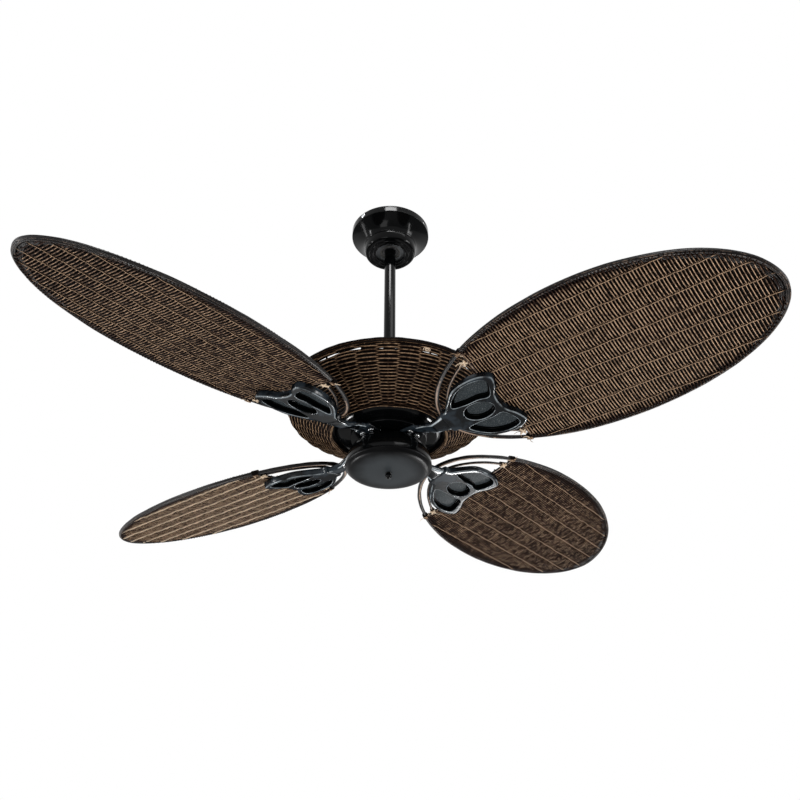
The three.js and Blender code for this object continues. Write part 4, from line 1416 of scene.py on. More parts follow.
        wefts = lay(self._wefts(dice), WEAVE, 6, Wave_Height=self.wave_height, Wobble=1.1)
        stakes = lay(self._stakes(dice), WEAVE, 8, Wobble=0.8)
        cords = lay(self._cords(dice), WEAVE, 6, Wobble=4.2, Wobble_Scale=0.08)
        border = lay(self._border(), RATTAN, 12, Wobble=1.4, Wobble_Scale=0.02)
        loop = lay(self._inner_loop(), RATTAN, 12, Wobble=1.6, Wobble_Scale=0.015)
        ties = lay(self._ties(dice), WEAVE, 8, Wobble=0.6, Wobble_Scale=0.12)
        panel = joined([wefts, stakes, cords, self._shade_sheet()])
        for name, mesh, finish, node, slot in (
            ("woven_panel", panel, WEAVE, "blade_weave", "dark_weave"),
            ("cane_border", border, RATTAN, "blade_border", "dark_rattan"),
            ("cane_inner_loop", loop, RATTAN, "blade_inner_loop", "dark_rattan"),
            ("cane_ties", ties, WEAVE, "", "dark_weave"),
        ):
            mesh.transform(self.place)
            nodes = [f"{node}_{self.number}"] if node else []
            piece(f"{name}_{self.number}", mesh, finish, Body.ROTOR, nodes, SOFT_DEG)


# ---- Blade brackets ----


@dataclass
class PetalBracket:
    """A cast bracket: an arm from the motor, and a plate of three petals with sunken faces."""

    pitch_deg: float = 15.3
    plate_start: float = 112.0
    notch: float = 203.0
    tip: float = 220.0
    half_width: float = 56.0
    tip_offset: float = 44.0
    rim: float = 5.0
    neck_width: float = 32.0
    plate_top: float = -3.8
    plate_thickness: float = 10.0
    recess: float = 8.0
    edge_height: float = 1.5
    edge_round: float = 2.6
    rim_round: float = 1.2
    floor_round: float = 0.7
    draft: float = 0.5
    # How far the walls' painted shade reaches onto the hollows' floors.
    shade_band: float = 3.2
    oval_share: float = 0.22
    sideways: float = -3.6
    side_shares: tuple = ((0.1, 0.36), (0.2, 0.56), (0.38, 0.86), (0.58, 0.98), (0.78, 1.0), (0.92, 0.93))
    tip_shares: tuple = ((0.0, 1.0), (0.05, 0.62), (0.13, 0.34))
    leaf_shares: tuple = (
        (0.24, 0.42),
        (0.44, 0.78),
        (0.7, 0.895),
        (0.89, 0.77),
        (0.8, 0.33),
        (0.62, 0.35),
        (0.42, 0.34),
    )
    arm_start: float = 57.0
    arm_width: float = 22.0
    pad_start: float = 32.0
    pad_width: float = 30.0
    pad_thickness: float = 5.7

    @property
    def span(self) -> float:
        """The plate's length."""
        return self.tip - self.plate_start

    def _placed(self, shares: Sequence[tuple[float, float]]) -> list[tuple[float, float]]:
        """Points of the plate from their shares of its length and of half its width."""
        return [(self.plate_start + along * self.span, share * self.half_width) for along, share in shares]

    def outline(self) -> np.ndarray:
        """The plate's outline.

        Returns:
            A loop of [out, across] points.
        """
        side = [(self.plate_start, self.neck_width / 2), *self._placed(self.side_shares)]
        side += [(self.tip - back * self.span, share * self.tip_offset) for back, share in self.tip_shares]
        mirrored = [(out, -across) for out, across in reversed(side)]
        return smooth_loop([*side, (self.notch, 0.0), *mirrored], 228)

    def hollows(self) -> list[np.ndarray]:
        """The sunken faces: an oval in the middle petal and a leaf in each side petal.

        Returns:
            A loop of [out, across] points for each.
        """
        half = self.oval_share * self.span
        angles = np.linspace(0, 2 * math.pi, 72, endpoint=False)
        middle = self.notch - 2 * self.rim - half
        oval = np.stack([middle + half * np.cos(angles), 3 * self.rim * np.sin(angles)], 1)
        upper = smooth_loop(self._placed(self.leaf_shares), 98)
        return [oval, upper, upper[::-1] * np.array([1.0, -1.0])]

    @staticmethod
    def _rings(loop: np.ndarray, insets: Sequence[float]) -> np.ndarray:
        """Points beside a loop, at each of several distances inside it.

        Args:
            loop: the loop.
            insets: the distances, below 0 outside.

        Returns:
            Those points that are really so far from the loop.
        """
        slope = np.roll(loop, -1, axis=0) - np.roll(loop, 1, axis=0)
        inward = np.stack([-slope[:, 1], slope[:, 0]], 1) / np.linalg.norm(slope, axis=1)[:, None]
        if signed_distance(loop[:1] + 0.2 * inward[:1], loop)[0] < 0:
            inward = -inward
        kept = []
        for inset in insets:
            ring = loop + inset * inward
            kept.append(ring[np.abs(signed_distance(ring, loop) - inset) < 0.08])
        return np.concatenate(kept)

    def _marks(
        self, points: np.ndarray, depth: np.ndarray, hollows: list[np.ndarray]
    ) -> tuple[np.ndarray, ...]:
        """Where the hollows' floors and walls are, with the walls' painted shade reaching a little onto each
        floor, and the edges that carry painted highlight lines.

        Args:
            points: where to tell.
            depth: how far inside the outline each point lies.
            hollows: the sunken faces.

        Returns:
            Three numbers from 0 to 1 for each point: how much it is floor, wall, which is painted shade, and
                painted highlight line.
        """
        inside = np.max([signed_distance(points, hollow) for hollow in hollows], axis=0)
        floor = np.clip((inside - self.shade_band) / 0.6, 0, 1)
        wall = np.clip((inside + 0.25) / 0.3, 0, 1) * (1 - floor)
        # A painted highlight line along the plate's outer edge, and along each hollow's rim below.
        outer = (1 - np.abs(depth - 1.5) / 0.7) * np.clip((points[:, 0] - self.plate_start) / 6 - 1, 0, 1)
        return floor, wall, np.maximum(1 - np.abs(inside + 0.75) / 0.55, outer).clip(0, 1)

    def _underside(self, points: np.ndarray, depth: np.ndarray, hollows: list[np.ndarray]) -> np.ndarray:
        """The height of the plate's sculpted face.

        Args:
            points: where.
            depth: how far inside the outline each point lies.
            hollows: the sunken faces.

        Returns:
            A height for each point.
        """
        full = self.plate_thickness - self.edge_height
        rounding = np.clip((depth - self.draft) / self.edge_round, 0, 1)
        wall = np.clip(depth / self.draft, 0, 1) * (full - self.edge_round)
        drop = wall + self.edge_round * np.sqrt(1 - (1 - rounding) ** 2)
        height = self.plate_top - self.edge_height - drop
        for hollow in hollows:
            inside = signed_distance(points, hollow)
            lip = np.clip(inside / self.rim_round + 1, 0, 1)
            floor = np.clip((inside - self.draft) / self.floor_round, 0, 1)
            straight = self.recess - self.rim_round - self.floor_round
            rise = self.rim_round * (1 - np.sqrt(1 - lip**2))
            rise += straight * np.clip(inside / self.draft, 0, 1)
            rise += self.floor_round * np.sqrt(1 - (1 - floor) ** 2)
            height += rise
        return height

    def _plate(self) -> bpy.types.Mesh:
        """The plate, with its sculpted underside.

        Returns:
            The plate, in place.
        """
        outline = self.outline()
        hollows = self.hollows()
        grid_step, ring_gap, edge_gap, weld = 4.0, 1.2, 3.5, 1e-4
        edge_insets = (0.15, self.draft, 0.75, 1.2, 1.9, self.draft + self.edge_round)
        rim_insets = (-1.3, -self.rim_round, -0.75, -0.2, 0.0, 0.25, self.draft, 0.75, 1.2, 3.2, 3.8)
        extra = [self._rings(outline, edge_insets)]
        extra += [self._rings(hollow, rim_insets) for hollow in hollows]
        low, high = outline.min(0), outline.max(0)
        across, out = np.meshgrid(np.arange(low[1], high[1], grid_step), np.arange(low[0], high[0], grid_step))
        grid = np.stack([out.ravel(), across.ravel()], 1)
        rings = np.concatenate(extra)
        clear = np.array([np.linalg.norm(rings - point, axis=1).min() > ring_gap for point in grid])
        extra.append(grid[clear & (signed_distance(grid, outline) > edge_gap)])
        flat = np.concatenate([outline, *extra])
        face = [list(range(len(outline)))]
        cut = geometry.delaunay_2d_cdt([Vector(point) for point in flat], [], face, 1, weld)
        points = np.array([tuple(point) for point in cut[0]])
        triangles = [list(triangle) for triangle in cut[2]]
        depth = np.maximum(signed_distance(points, outline), 0)
        depth[depth < 0.02] = 0
        lower = self._underside(points, depth, hollows)
        soft = np.clip(depth / self.edge_height, 0, 1)
        upper = self.plate_top - self.edge_height * (1 - np.sqrt(1 - (1 - soft) ** 2))
        both = np.concatenate([np.column_stack([points, lower]), np.column_stack([points, upper])])
        shift = len(points)
        faces = [triangle[::-1] for triangle in triangles]
        faces += [[corner + shift for corner in triangle] for triangle in triangles]
        mesh = bpy.data.meshes.new("plate")
        mesh.from_pydata(both.tolist(), [], faces)
        blank = np.zeros(shift)
        for name, marks in zip(("floor", "wall", "glint_edge"), self._marks(points, depth, hollows)):
            values = np.concatenate([marks, blank])
            mark(mesh, name, values)
        aside = Matrix.Translation((0, self.sideways, 0))
        faced(mesh, weld).transform(Matrix.Rotation(-math.radians(self.pitch_deg), 4, "X") @ aside)
        return mesh

    def _arm(self) -> bpy.types.Mesh:
        """The arm, which twists from the pad's level to the plate's pitch.

        Returns:
            The arm, in place.
        """
        middle = self.plate_top - self.plate_thickness / 2
        reach = self.plate_start - self.arm_start
        stations = np.array([0.0, 0.27, 0.6, 0.9, 1.0, 1.24])
        width = np.array([self.arm_width, 21.0, 21.5, 27.0, self.neck_width - 1, self.neck_width - 8])
        thick = np.array([self.pad_thickness, 7.4, 9.0, 9.6, 9.2, 7.0])
        height = np.array([self.pad_thickness / 2, 0.4, middle + 1.4, middle + 0.3, middle, middle + 1])
        twist = np.array([0.0, 0.2, 0.7, 1.0, 1.0, 1.0])
        angles = np.linspace(0, 2 * math.pi, 48, endpoint=False)
        power = 0.62
        side = np.sign(np.cos(angles)) * np.abs(np.cos(angles)) ** power
        rise = np.sign(np.sin(angles)) * np.abs(np.sin(angles)) ** power
        rings = []
        for share in np.linspace(0, stations[-1], 26):
            turn = -math.radians(self.pitch_deg) * np.interp(share, stations, twist)
            across = side * np.interp(share, stations, width) / 2 + self.sideways * min(1.0, share)
            up = np.interp(share, stations, height) + rise * np.interp(share, stations, thick) / 2
            aside = across * math.cos(turn) - up * math.sin(turn)
            high = across * math.sin(turn) + up * math.cos(turn)
            rings.append(np.stack([np.full(len(angles), self.arm_start + share * reach), aside, high], 1))
        mesh = skinned(rings)
        # Painted highlight lines along the arm's two lower edges.
        glint_edge = 2 * np.clip(1 - np.abs(np.abs(np.degrees(angles) - 270) - 45) / 12, 0, 1)
        mark(mesh, "glint_edge", np.tile(glint_edge, len(rings)))
        return mesh

    def mesh(self) -> bpy.types.Mesh:
        """The whole bracket, along +X with the blade plane at z = 0.

        Returns:
            The bracket.
        """
        length = self.arm_start + 3 - self.pad_start
        size = (length, self.pad_width, self.pad_thickness)
        pad = block(size, (self.pad_start + length / 2, 0, self.pad_thickness / 2), 2.6, 5)
        # Painted glints on the pad's inner corners.
        near, aside = self.pad_start + 2.4, self.pad_width / 2 - 3
        ends = [2.0 * (corner.co.x < near and abs(corner.co.y) > aside) for corner in pad.vertices]
        mark(pad, "glint_edge", ends)
        return joined([self._plate(), self._arm(), pad])


# ---- Screws ----


@dataclass(frozen=True)
class PanScrew:
    """A pan-head screw with a cross recess, pointing along -Z with its head above z = 0."""

    shank: float
    length: float
    head: float
    height: float

    def mesh(self) -> bpy.types.Mesh:
        """Builds the screw.

        Returns:
            The screw.
        """
        angles = np.linspace(0, 1.5, 7)
        dome = [(self.head * math.cos(a), self.height * (0.35 + 0.65 * math.sin(a))) for a in angles]
        profile = [
            (0.0, -self.length),
            (self.shank * 0.5, -self.length),
            (self.shank, -self.length + 1.2),
            (self.shank, 0.0),
            (self.head, 0.0),
            *dome,
            (0.0, self.height),
        ]
        body = turned(np.array(profile), False, 28)
        slot = (1.25 * self.head, 0.24 * self.head, 1.2 * self.height)
        for size in (slot, (slot[1], slot[0], slot[2])):
            body = bored(body, [block(size, (0, 0, self.height * 1.05), 0.05, 1)])
        return body


# ---- Woven bowl ----


@dataclass
class WovenBowl:
    """The bowl round the motor: rings of weft woven through stakes that fan out from its mouth."""

    strands: StrandTree
    mouth_radius: float = 87.0
    mouth_z: float = -418.0
    knee_radius: float = 155.0
    knee_z: float = -383.0
    top_radius: float = 162.0
    top_z: float = -359.0
    wall: float = 6.0
    rim_radius: float = 159.0
    rim_z: float = -354.2
    stake_count: int = 32
    stake_radius: float = 1.6
    weft_radius: float = 1.45
    weft_pitch: float = 2.6
    wave_height: float = 1.55
    collar_height: float = 36.0
    collar_wall: float = 1.4
    slit_from_top: float = 7.0
    slit_turn_deg: float = 242.0
    slit_half_deg: float = 14.0
    rim_orbit: float = 2.7
    rim_strand: float = 1.7
    rim_strands: int = 6
    rim_core: float = 2.6

    def _profile(self) -> np.ndarray:
        """The middle of the wall, from the mouth up to the rim, as close points.

        Returns:
            [radius, z] points.
        """
        corners = [
            (self.mouth_radius, self.mouth_z, 0.0),
            (self.knee_radius, self.knee_z, 9.0),
            (self.top_radius, self.top_z, 0.0),
        ]
        rough = rounded(corners, False, 8)
        lengths = self._lengths(rough)
        even = np.linspace(0, lengths[-1], 160)
        curve = np.stack([np.interp(even, lengths, rough[:, axis]) for axis in (0, 1)], 1)
        return curve - self.wall / 2 * self._outward(curve)

    @staticmethod
    def _lengths(curve: np.ndarray) -> np.ndarray:
        """The distance along a profile to each of its points."""
        return np.concatenate([[0], np.cumsum(np.linalg.norm(np.diff(curve, axis=0), axis=1))])

    @staticmethod
    def _outward(curve: np.ndarray) -> np.ndarray:
        """The direction out of the wall at each point of a profile."""
        slope = np.gradient(curve, axis=0)
        return np.stack([slope[:, 1], -slope[:, 0]], 1) / np.linalg.norm(slope, axis=1)[:, None]

    def _at(self, curve: np.ndarray, along: float) -> tuple[np.ndarray, np.ndarray]:
        """A point of the profile and its outward direction.

        Args:
            curve: the profile.
            along: the distance along it from the mouth.

        Returns:
            The point and the direction, both [radius, z].
        """
        lengths = self._lengths(curve)
        here, ahead, behind = (
            np.array([np.interp(along + step, lengths, curve[:, axis]) for axis in (0, 1)])
            for step in (0, 1.5, -1.5)
        )
        slope = (ahead - behind) / np.linalg.norm(ahead - behind)
        return here, np.array([slope[1], -slope[0]])

    def _wefts(self, dice: np.random.Generator) -> Guides:
        """The rings that go in and out round the stakes.

        Args:
            dice: the source of the rings' small differences.

        Returns:
            The rings.
        """
        guides = Guides()
        curve = self._profile()
        length = float(np.linalg.norm(np.diff(curve, axis=0), axis=1).sum())
        turns = np.linspace(0, 2 * math.pi, 8 * self.stake_count, endpoint=False)
        away = np.abs(np.degrees(turns) - self.slit_turn_deg)
        window = np.clip((self.slit_half_deg + 3 - away) / 3, 0, 1)
        for row, along in enumerate(np.arange(2.0, length - 1.0, self.weft_pitch)):
            (radius, z), outward = self._at(curve, float(along))
            from_slit = length - along - self.slit_from_top
            push = 1.1 * math.exp(-((from_slit / 4) ** 2)) * (1 if from_slit < 0 else -1) * window
            rise = np.array([-outward[1], outward[0]])
            radii = radius + push * rise[0] + dice.normal(0, 0.1)
            heights = z + push * rise[1] + dice.normal(0, 0.1)
            ring = around(radii, turns, heights)
            lift = around(outward[0], turns, outward[1])
            phase = turns * self.stake_count / (2 * math.pi) + row
            # Rows darken towards the mouth: painted shade.
            edge = max(0.0, 1 - along / 9)
            tone = float(np.clip(dice.normal(0.36, 0.1), 0, 0.7))
            girth = self.weft_radius * dice.uniform(0.94, 1.06)
            guides.line(ring, girth, phase, lift, tone, edge, closed=True)
        return guides

    def _stakes(self) -> Guides:
        """The stakes, from the mouth up to the rim.

        Returns:
            The stakes.
        """
        guides = Guides()
        curve = self._profile()
        for k in range(self.stake_count):
            turn = 2 * math.pi * k / self.stake_count
            radii = np.append(curve[::4, 0], self.rim_radius)
            heights = np.append(curve[::4, 1], self.rim_z)
            guides.line(around(radii, turn, heights), self.stake_radius, tone=0.0, edge=1.0)
        return guides

    def _shade_sheet(self) -> bpy.types.Mesh:
        """A dark sheet in the middle of the wall, painted shade that fills the gaps between the rows, which
        leaves the slit below the rim open.

        Returns:
            The dark sheet and the mouth's dark collar, both coloured as painted shade.
        """
        curve = self._profile()
        lengths = self._lengths(curve)
        outward = SHADE_SHEET_HALF * self._outward(curve)
        below = lengths < lengths[-1] - self.slit_from_top - 1.5
        kept, out = curve[below][::6], outward[below][::6]
        lower = turned(np.concatenate([kept + out, (kept - out)[::-1]]), True, 96)
        ends = np.nonzero(~below)[0][[1, -1]]
        kept, out = curve[ends], outward[ends]
        section = np.concatenate([kept + out, (kept - out)[::-1]])
        start = self.slit_turn_deg + self.slit_half_deg
        arc = np.radians(np.linspace(start, start + 360 - 2 * self.slit_half_deg, 90))
        upper = skinned([around(section[:, 0], turn, section[:, 1]) for turn in arc])
        inner, outer = self.mouth_radius - 1, self.mouth_radius - 1 + self.collar_wall
        foot, top = self.mouth_z + 2, self.mouth_z + self.collar_height
        collar = lathed([(inner, foot, 0.0), (outer, foot, 0.0), (outer, top, 0.5), (inner, top, 0.5)])
        return painted_shade_sheet(joined([lower, upper, collar]))

    def _rim(self) -> Guides:
        """A core with strands laid along it, which rise and sink a little as they pass round.

        Returns:
            The rim's strands.
        """
        guides = Guides()
        turns = np.linspace(0, 2 * math.pi, 200, endpoint=False)
        strands = [(0.0, 0.0, self.rim_core)]
        for k in range(self.rim_strands):
            strands.append((k * 2 * math.pi / self.rim_strands, self.rim_orbit, self.rim_strand))
        for turn, orbit, girth in strands:
            sway = turn + 0.3 * np.sin(3 * turns + turn)
            radii = self.rim_radius + orbit * np.cos(sway)
            heights = self.rim_z + orbit * np.sin(sway)
            guides.line(around(radii, turns, heights), girth, 0.0, tone=0.2, edge=0.2, closed=True)
        return guides

    def _binding(self) -> Guides:
        """The pale strands that bind the mouth's edge.

        Returns:
            The strands.
        """
        guides = Guides()
        turns = np.linspace(0, 2 * math.pi, 160, endpoint=False)
        for out, up, tone in ((0.2, 0.6, 0.55), (1.6, -0.6, 0.3), (-0.8, 2.8, 0.2)):
            radii = self.mouth_radius + out + 0.4 * np.sin(11 * turns + out)
            heights = self.mouth_z + up + 0.4 * np.cos(7 * turns)
            guides.line(around(radii, turns, heights), 1.15, tone=tone, closed=True)
        return guides

    def _curl(self) -> Guides:
        """The loose raw end of a weft, curled on the near side below the rim.

        Returns:
            The loose end.
        """
        guides = Guides()
        turn = math.radians(-70)
        centre = around(self.top_radius, turn, self.top_z - 7)
        side = around(1.0, turn + math.pi / 2, 0.0)
        angles = np.linspace(0, 1.6 * 2 * math.pi, 40)
        reach = np.linspace(1.6, 6.0, 40)
        line = centre + reach[:, None] * spread(angles, side, 0.6 * UP)
        guides.line(line, np.linspace(0.9, 0.5, 40), tone=1.0)
        return guides

    def build(self) -> None:
        """Builds and dresses the bowl's pieces."""
        dice = np.random.default_rng(7)
        lay = self.strands.lay
        wefts = lay(self._wefts(dice), BOWL_WEAVE, Wave_Height=self.wave_height, Wobble=1.0, Sides=6)
        stakes = lay(self._stakes(), BOWL_WEAVE, Wobble=0.8, Sides=8)
        rim = lay(self._rim(), BOWL_WEAVE, Wobble=1.6, Wobble_Scale=0.05, Sides=10)
        curl = lay(self._curl(), BOWL_WEAVE, Sides=8)
        binding = lay(self._binding(), BOWL_WEAVE, Wobble=0.8, Sides=8)
        panel = joined([wefts, stakes, curl, binding, self._shade_sheet()])
        piece("woven_bowl", panel, BOWL_WEAVE, Body.MOTOR, ["wicker_bowl"], SOFT_DEG)
        piece("plaited_rim", rim, BOWL_WEAVE, Body.MOTOR, ["bowl_rim"], SOFT_DEG)


# ---- Metal shells ----


@dataclass
class CeilingEnd:
    """What hangs from the ceiling: canopy, its screws, ball and rod."""

    canopy_radius: float = 67.0
    band: float = 12.0
    shoulder: float = 22.0
    shoulder_power: float = 1.6
    cup_radius: float = 44.5
    cup_floor_z: float = -50.0
    mouth_radius: float = 25.0
    wall: float = 1.4
    screw_drop: float = 6.5
    screw_turn_deg: float = 47.0
    slot_turn_deg: float = -28.0
    ball_radius: float = 20.0
    ball_z: float = -31.0
    ball_top: float = 13.0
    ball_foot: float = 15.0
    rod_radius: float = 9.525
    rod_bore: float = 7.925
    rod_foot_z: float = -333.4
    lip: tuple = (
        (11.5, 0, 0.8), (10.5, 1.3, 0.6), (8, 1.3, 0.6), (7, 0, 0.6), (5, 0, 0.6), (4, 1.2, 0.6),
        (1.4, 1.2, 0.6), (0, -0.2, 0.8), (0, 3.2, 0.6), (1.4, 3.2, 0.4),
    )

    def _canopy_side(self, inset: float) -> list[Corner]:
        """The canopy's outer side from its rim to its mouth, shrunk by inset.

        Args:
            inset: how far inside the outer face.

        Returns:
            (radius, z, fillet) of each corner.
        """
        width = self.canopy_radius - 0.8 - self.cup_radius
        curve = [
            (
                self.cup_radius + width * (1 - share) ** self.shoulder_power - inset,
                -self.band - self.shoulder * share + 0.6 * inset * (1 - share),
                0.0,
            )
            for share in np.linspace(0.03, 0.97, 16)
        ]
        foot = -self.band - self.shoulder
        return [
            (self.canopy_radius - inset, 0.0, 0.3),
            (self.canopy_radius - inset, -self.band + 0.4, 0.5),
            (self.canopy_radius - 0.8 - inset, -self.band, 0.3),
            *curve,
            (self.cup_radius - 0.6 - inset, foot, 1.0),
            (self.cup_radius + 0.6 - inset, foot - 3.5, 2.5),
            (self.cup_radius - 1.5 - inset, self.cup_floor_z + inset, 9.0),
        ]

    def _canopy(self) -> bpy.types.Mesh:
        """The canopy's shell, with a rolled lip round its mouth and its screw holes.

        Returns:
            The shell.
        """
        lip = [(self.mouth_radius + out, self.cup_floor_z + up, fillet) for out, up, fillet in self.lip]
        shell = lathed([*self._canopy_side(0), *lip, *self._canopy_side(self.wall)[::-1]], 6, 160)
        tools = []
        for turn_deg, half in ((self.screw_turn_deg, 2.6), (self.slot_turn_deg, 5.0)):
            size = (3 * self.canopy_radius, 2 * half, 4.6)
            hole = block(size, (0, 0, -self.screw_drop), 2.2, 6)
            hole.transform(Matrix.Rotation(math.radians(turn_deg), 4, "Z"))
            tools.append(hole)
        return bored(shell, tools)

    def build(self) -> None:
        """Builds and dresses the pieces."""
        piece("canopy_shell", self._canopy(), ENAMEL, Body.MOUNT, ["canopy"])
        screw = PanScrew(2.0, 13.5, 4.2, 2.4).mesh()
        screws = []
        for half_turn in (0, 180):
            turn = Matrix.Rotation(math.radians(self.screw_turn_deg + half_turn), 4, "Z")
            out = Matrix.Translation((self.canopy_radius + 0.3, 0, -self.screw_drop))
            screws.append(moved(screw, turn @ out @ Matrix.Rotation(math.pi / 2, 4, "Y")))
        nodes = ["canopy_screw_1", "canopy_screw_2"]
        piece("canopy_pan_screws", joined(screws), STEEL, Body.MOUNT, nodes)
        first, last = (math.asin(end / self.ball_radius) for end in (self.ball_top, -self.ball_foot))
        angles = np.linspace(first, last, 26)
        radius, middle = self.ball_radius, self.ball_z
        sphere = [(radius * math.cos(a), middle + radius * math.sin(a), 0.0) for a in angles]
        bore, top = self.rod_radius + 0.3, self.ball_z + self.ball_top
        ball = lathed([*sphere, (bore, self.ball_z - self.ball_foot, 0.5), (bore, top, 0.5)])
        piece("ball", ball, BLACK_PLASTIC, Body.MOTOR, ["hanger_ball"])
        foot = self.rod_foot_z + 0.3
        inner, outer = self.rod_bore, self.rod_radius
        rod = lathed([(inner, foot, 0.3), (outer, foot, 0.3), (outer, top, 0.3), (inner, top, 0.3)])
        piece("rod", rod, ENAMEL, Body.MOTOR, ["downrod"])


@dataclass
class MotorShells:
    """The motor's two shells, the flange under it and the coupling above it."""

    radius: float = 83.0
    foot_z: float = -417.7
    top_z: float = -359.7
    corner: float = 16.0
    wall: float = 2.5
    bore: float = 11.5
    flange_radius: float = 58.0
    flange_foot_z: float = -424.0
    flange_thickness: float = 6.0
    seat_bore: float = 20.3
    seat_radius: float = 23.3
    seat_depth: float = 14.5
    flange_bore: float = 26.0
    coupling_foot_z: float = -356.7
    coupling_top_z: float = -301.7
    coupling_radius: float = 14.8
    coupling_flange: float = 30.0
    rod_socket: float = 9.825
    shaft_socket: float = 8.8
    wire_bore: float = 5.0
    stop_top_z: float = -333.7
    stop_foot_z: float = -336.4
    pin_z: float = -317.7
    pin_radius: float = 3.3

    def _shell(self, side: int) -> bpy.types.Mesh:
        """One of the two shells.

        Args:
            side: -1 for the lower shell and 1 for the upper.

        Returns:
            The shell.
        """
        face = self.foot_z if side < 0 else self.top_z
        split = (self.foot_z + self.top_z) / 2 + side * 0.15

        def height(depth: float) -> float:
            """The height at a depth behind the shell's face."""
            return face - side * depth

        radius, bore, wall, flange = self.radius, self.bore, self.wall, self.flange_radius
        corners = [
            (bore, height(0), 0.4),
            (bore + 16, height(0), 0.5),
            (bore + 17, height(1.0), 0.5),
            (flange - 6, height(1.0), 0.5),
            (flange - 5, height(0), 0.6),
            (radius, height(0), self.corner),
            (radius, split + side * 2.2, 0.4),
            (radius - 0.9, split, 0.4),
            (radius - wall, split, 0.3),
            (radius - wall, height(wall), self.corner - wall),
            (self.seat_radius, height(wall), 0.6),
            (self.seat_radius, height(self.seat_depth), 0.4),
            (self.seat_bore, height(self.seat_depth), 0.4),
            (self.seat_bore, height(wall), 0.4),
            (bore, height(wall), 0.4),
        ]
        return lathed(corners, 8, 144)

    def build(self) -> None:
        """Builds and dresses the pieces."""
        for side, end in ((-1, "lower"), (1, "upper")):
            nodes = [f"motor_shell_{end}"]
            piece(f"motor_casing_{end}", self._shell(side), ENAMEL, Body.ROTOR, nodes)
        foot, top = self.flange_foot_z, self.flange_foot_z + self.flange_thickness
        inner, outer = self.flange_bore, self.flange_radius
        ring = lathed([(inner, foot, 0.8), (outer, foot, 1.6), (outer, top, 0.6), (inner, top, 0.6)], sides=128)
        piece("mounting_flange", ring, ENAMEL, Body.ROTOR, ["blade_flange"])
        foot, top = self.coupling_foot_z, self.coupling_top_z
        coupling = [
            (self.shaft_socket, foot, 0.4),
            (self.coupling_flange, foot, 0.8),
            (self.coupling_flange, foot + 4, 1.2),
            (self.coupling_radius, foot + 4, 2.5),
            (self.coupling_radius, top, 1.4),
            (self.rod_socket, top, 0.6),
            (self.rod_socket, self.stop_top_z, 0.3),
            (self.wire_bore, self.stop_top_z, 0.3),
            (self.wire_bore, self.stop_foot_z, 0.3),
            (self.shaft_socket, self.stop_foot_z, 0.3),
        ]
        socket = lathed(coupling)
        reach, pin = 40, self.pin_radius
        hole = turned(np.array([(0, -reach), (pin, -reach), (pin, reach), (0, reach)], float), False, 32)
        hole.transform(Matrix.Translation((0, 0, self.pin_z)) @ Matrix.Rotation(math.pi / 2, 4, "Y"))
        piece("rod_socket", bored(socket, [hole]), SATIN, Body.MOTOR, ["rod_coupling"])


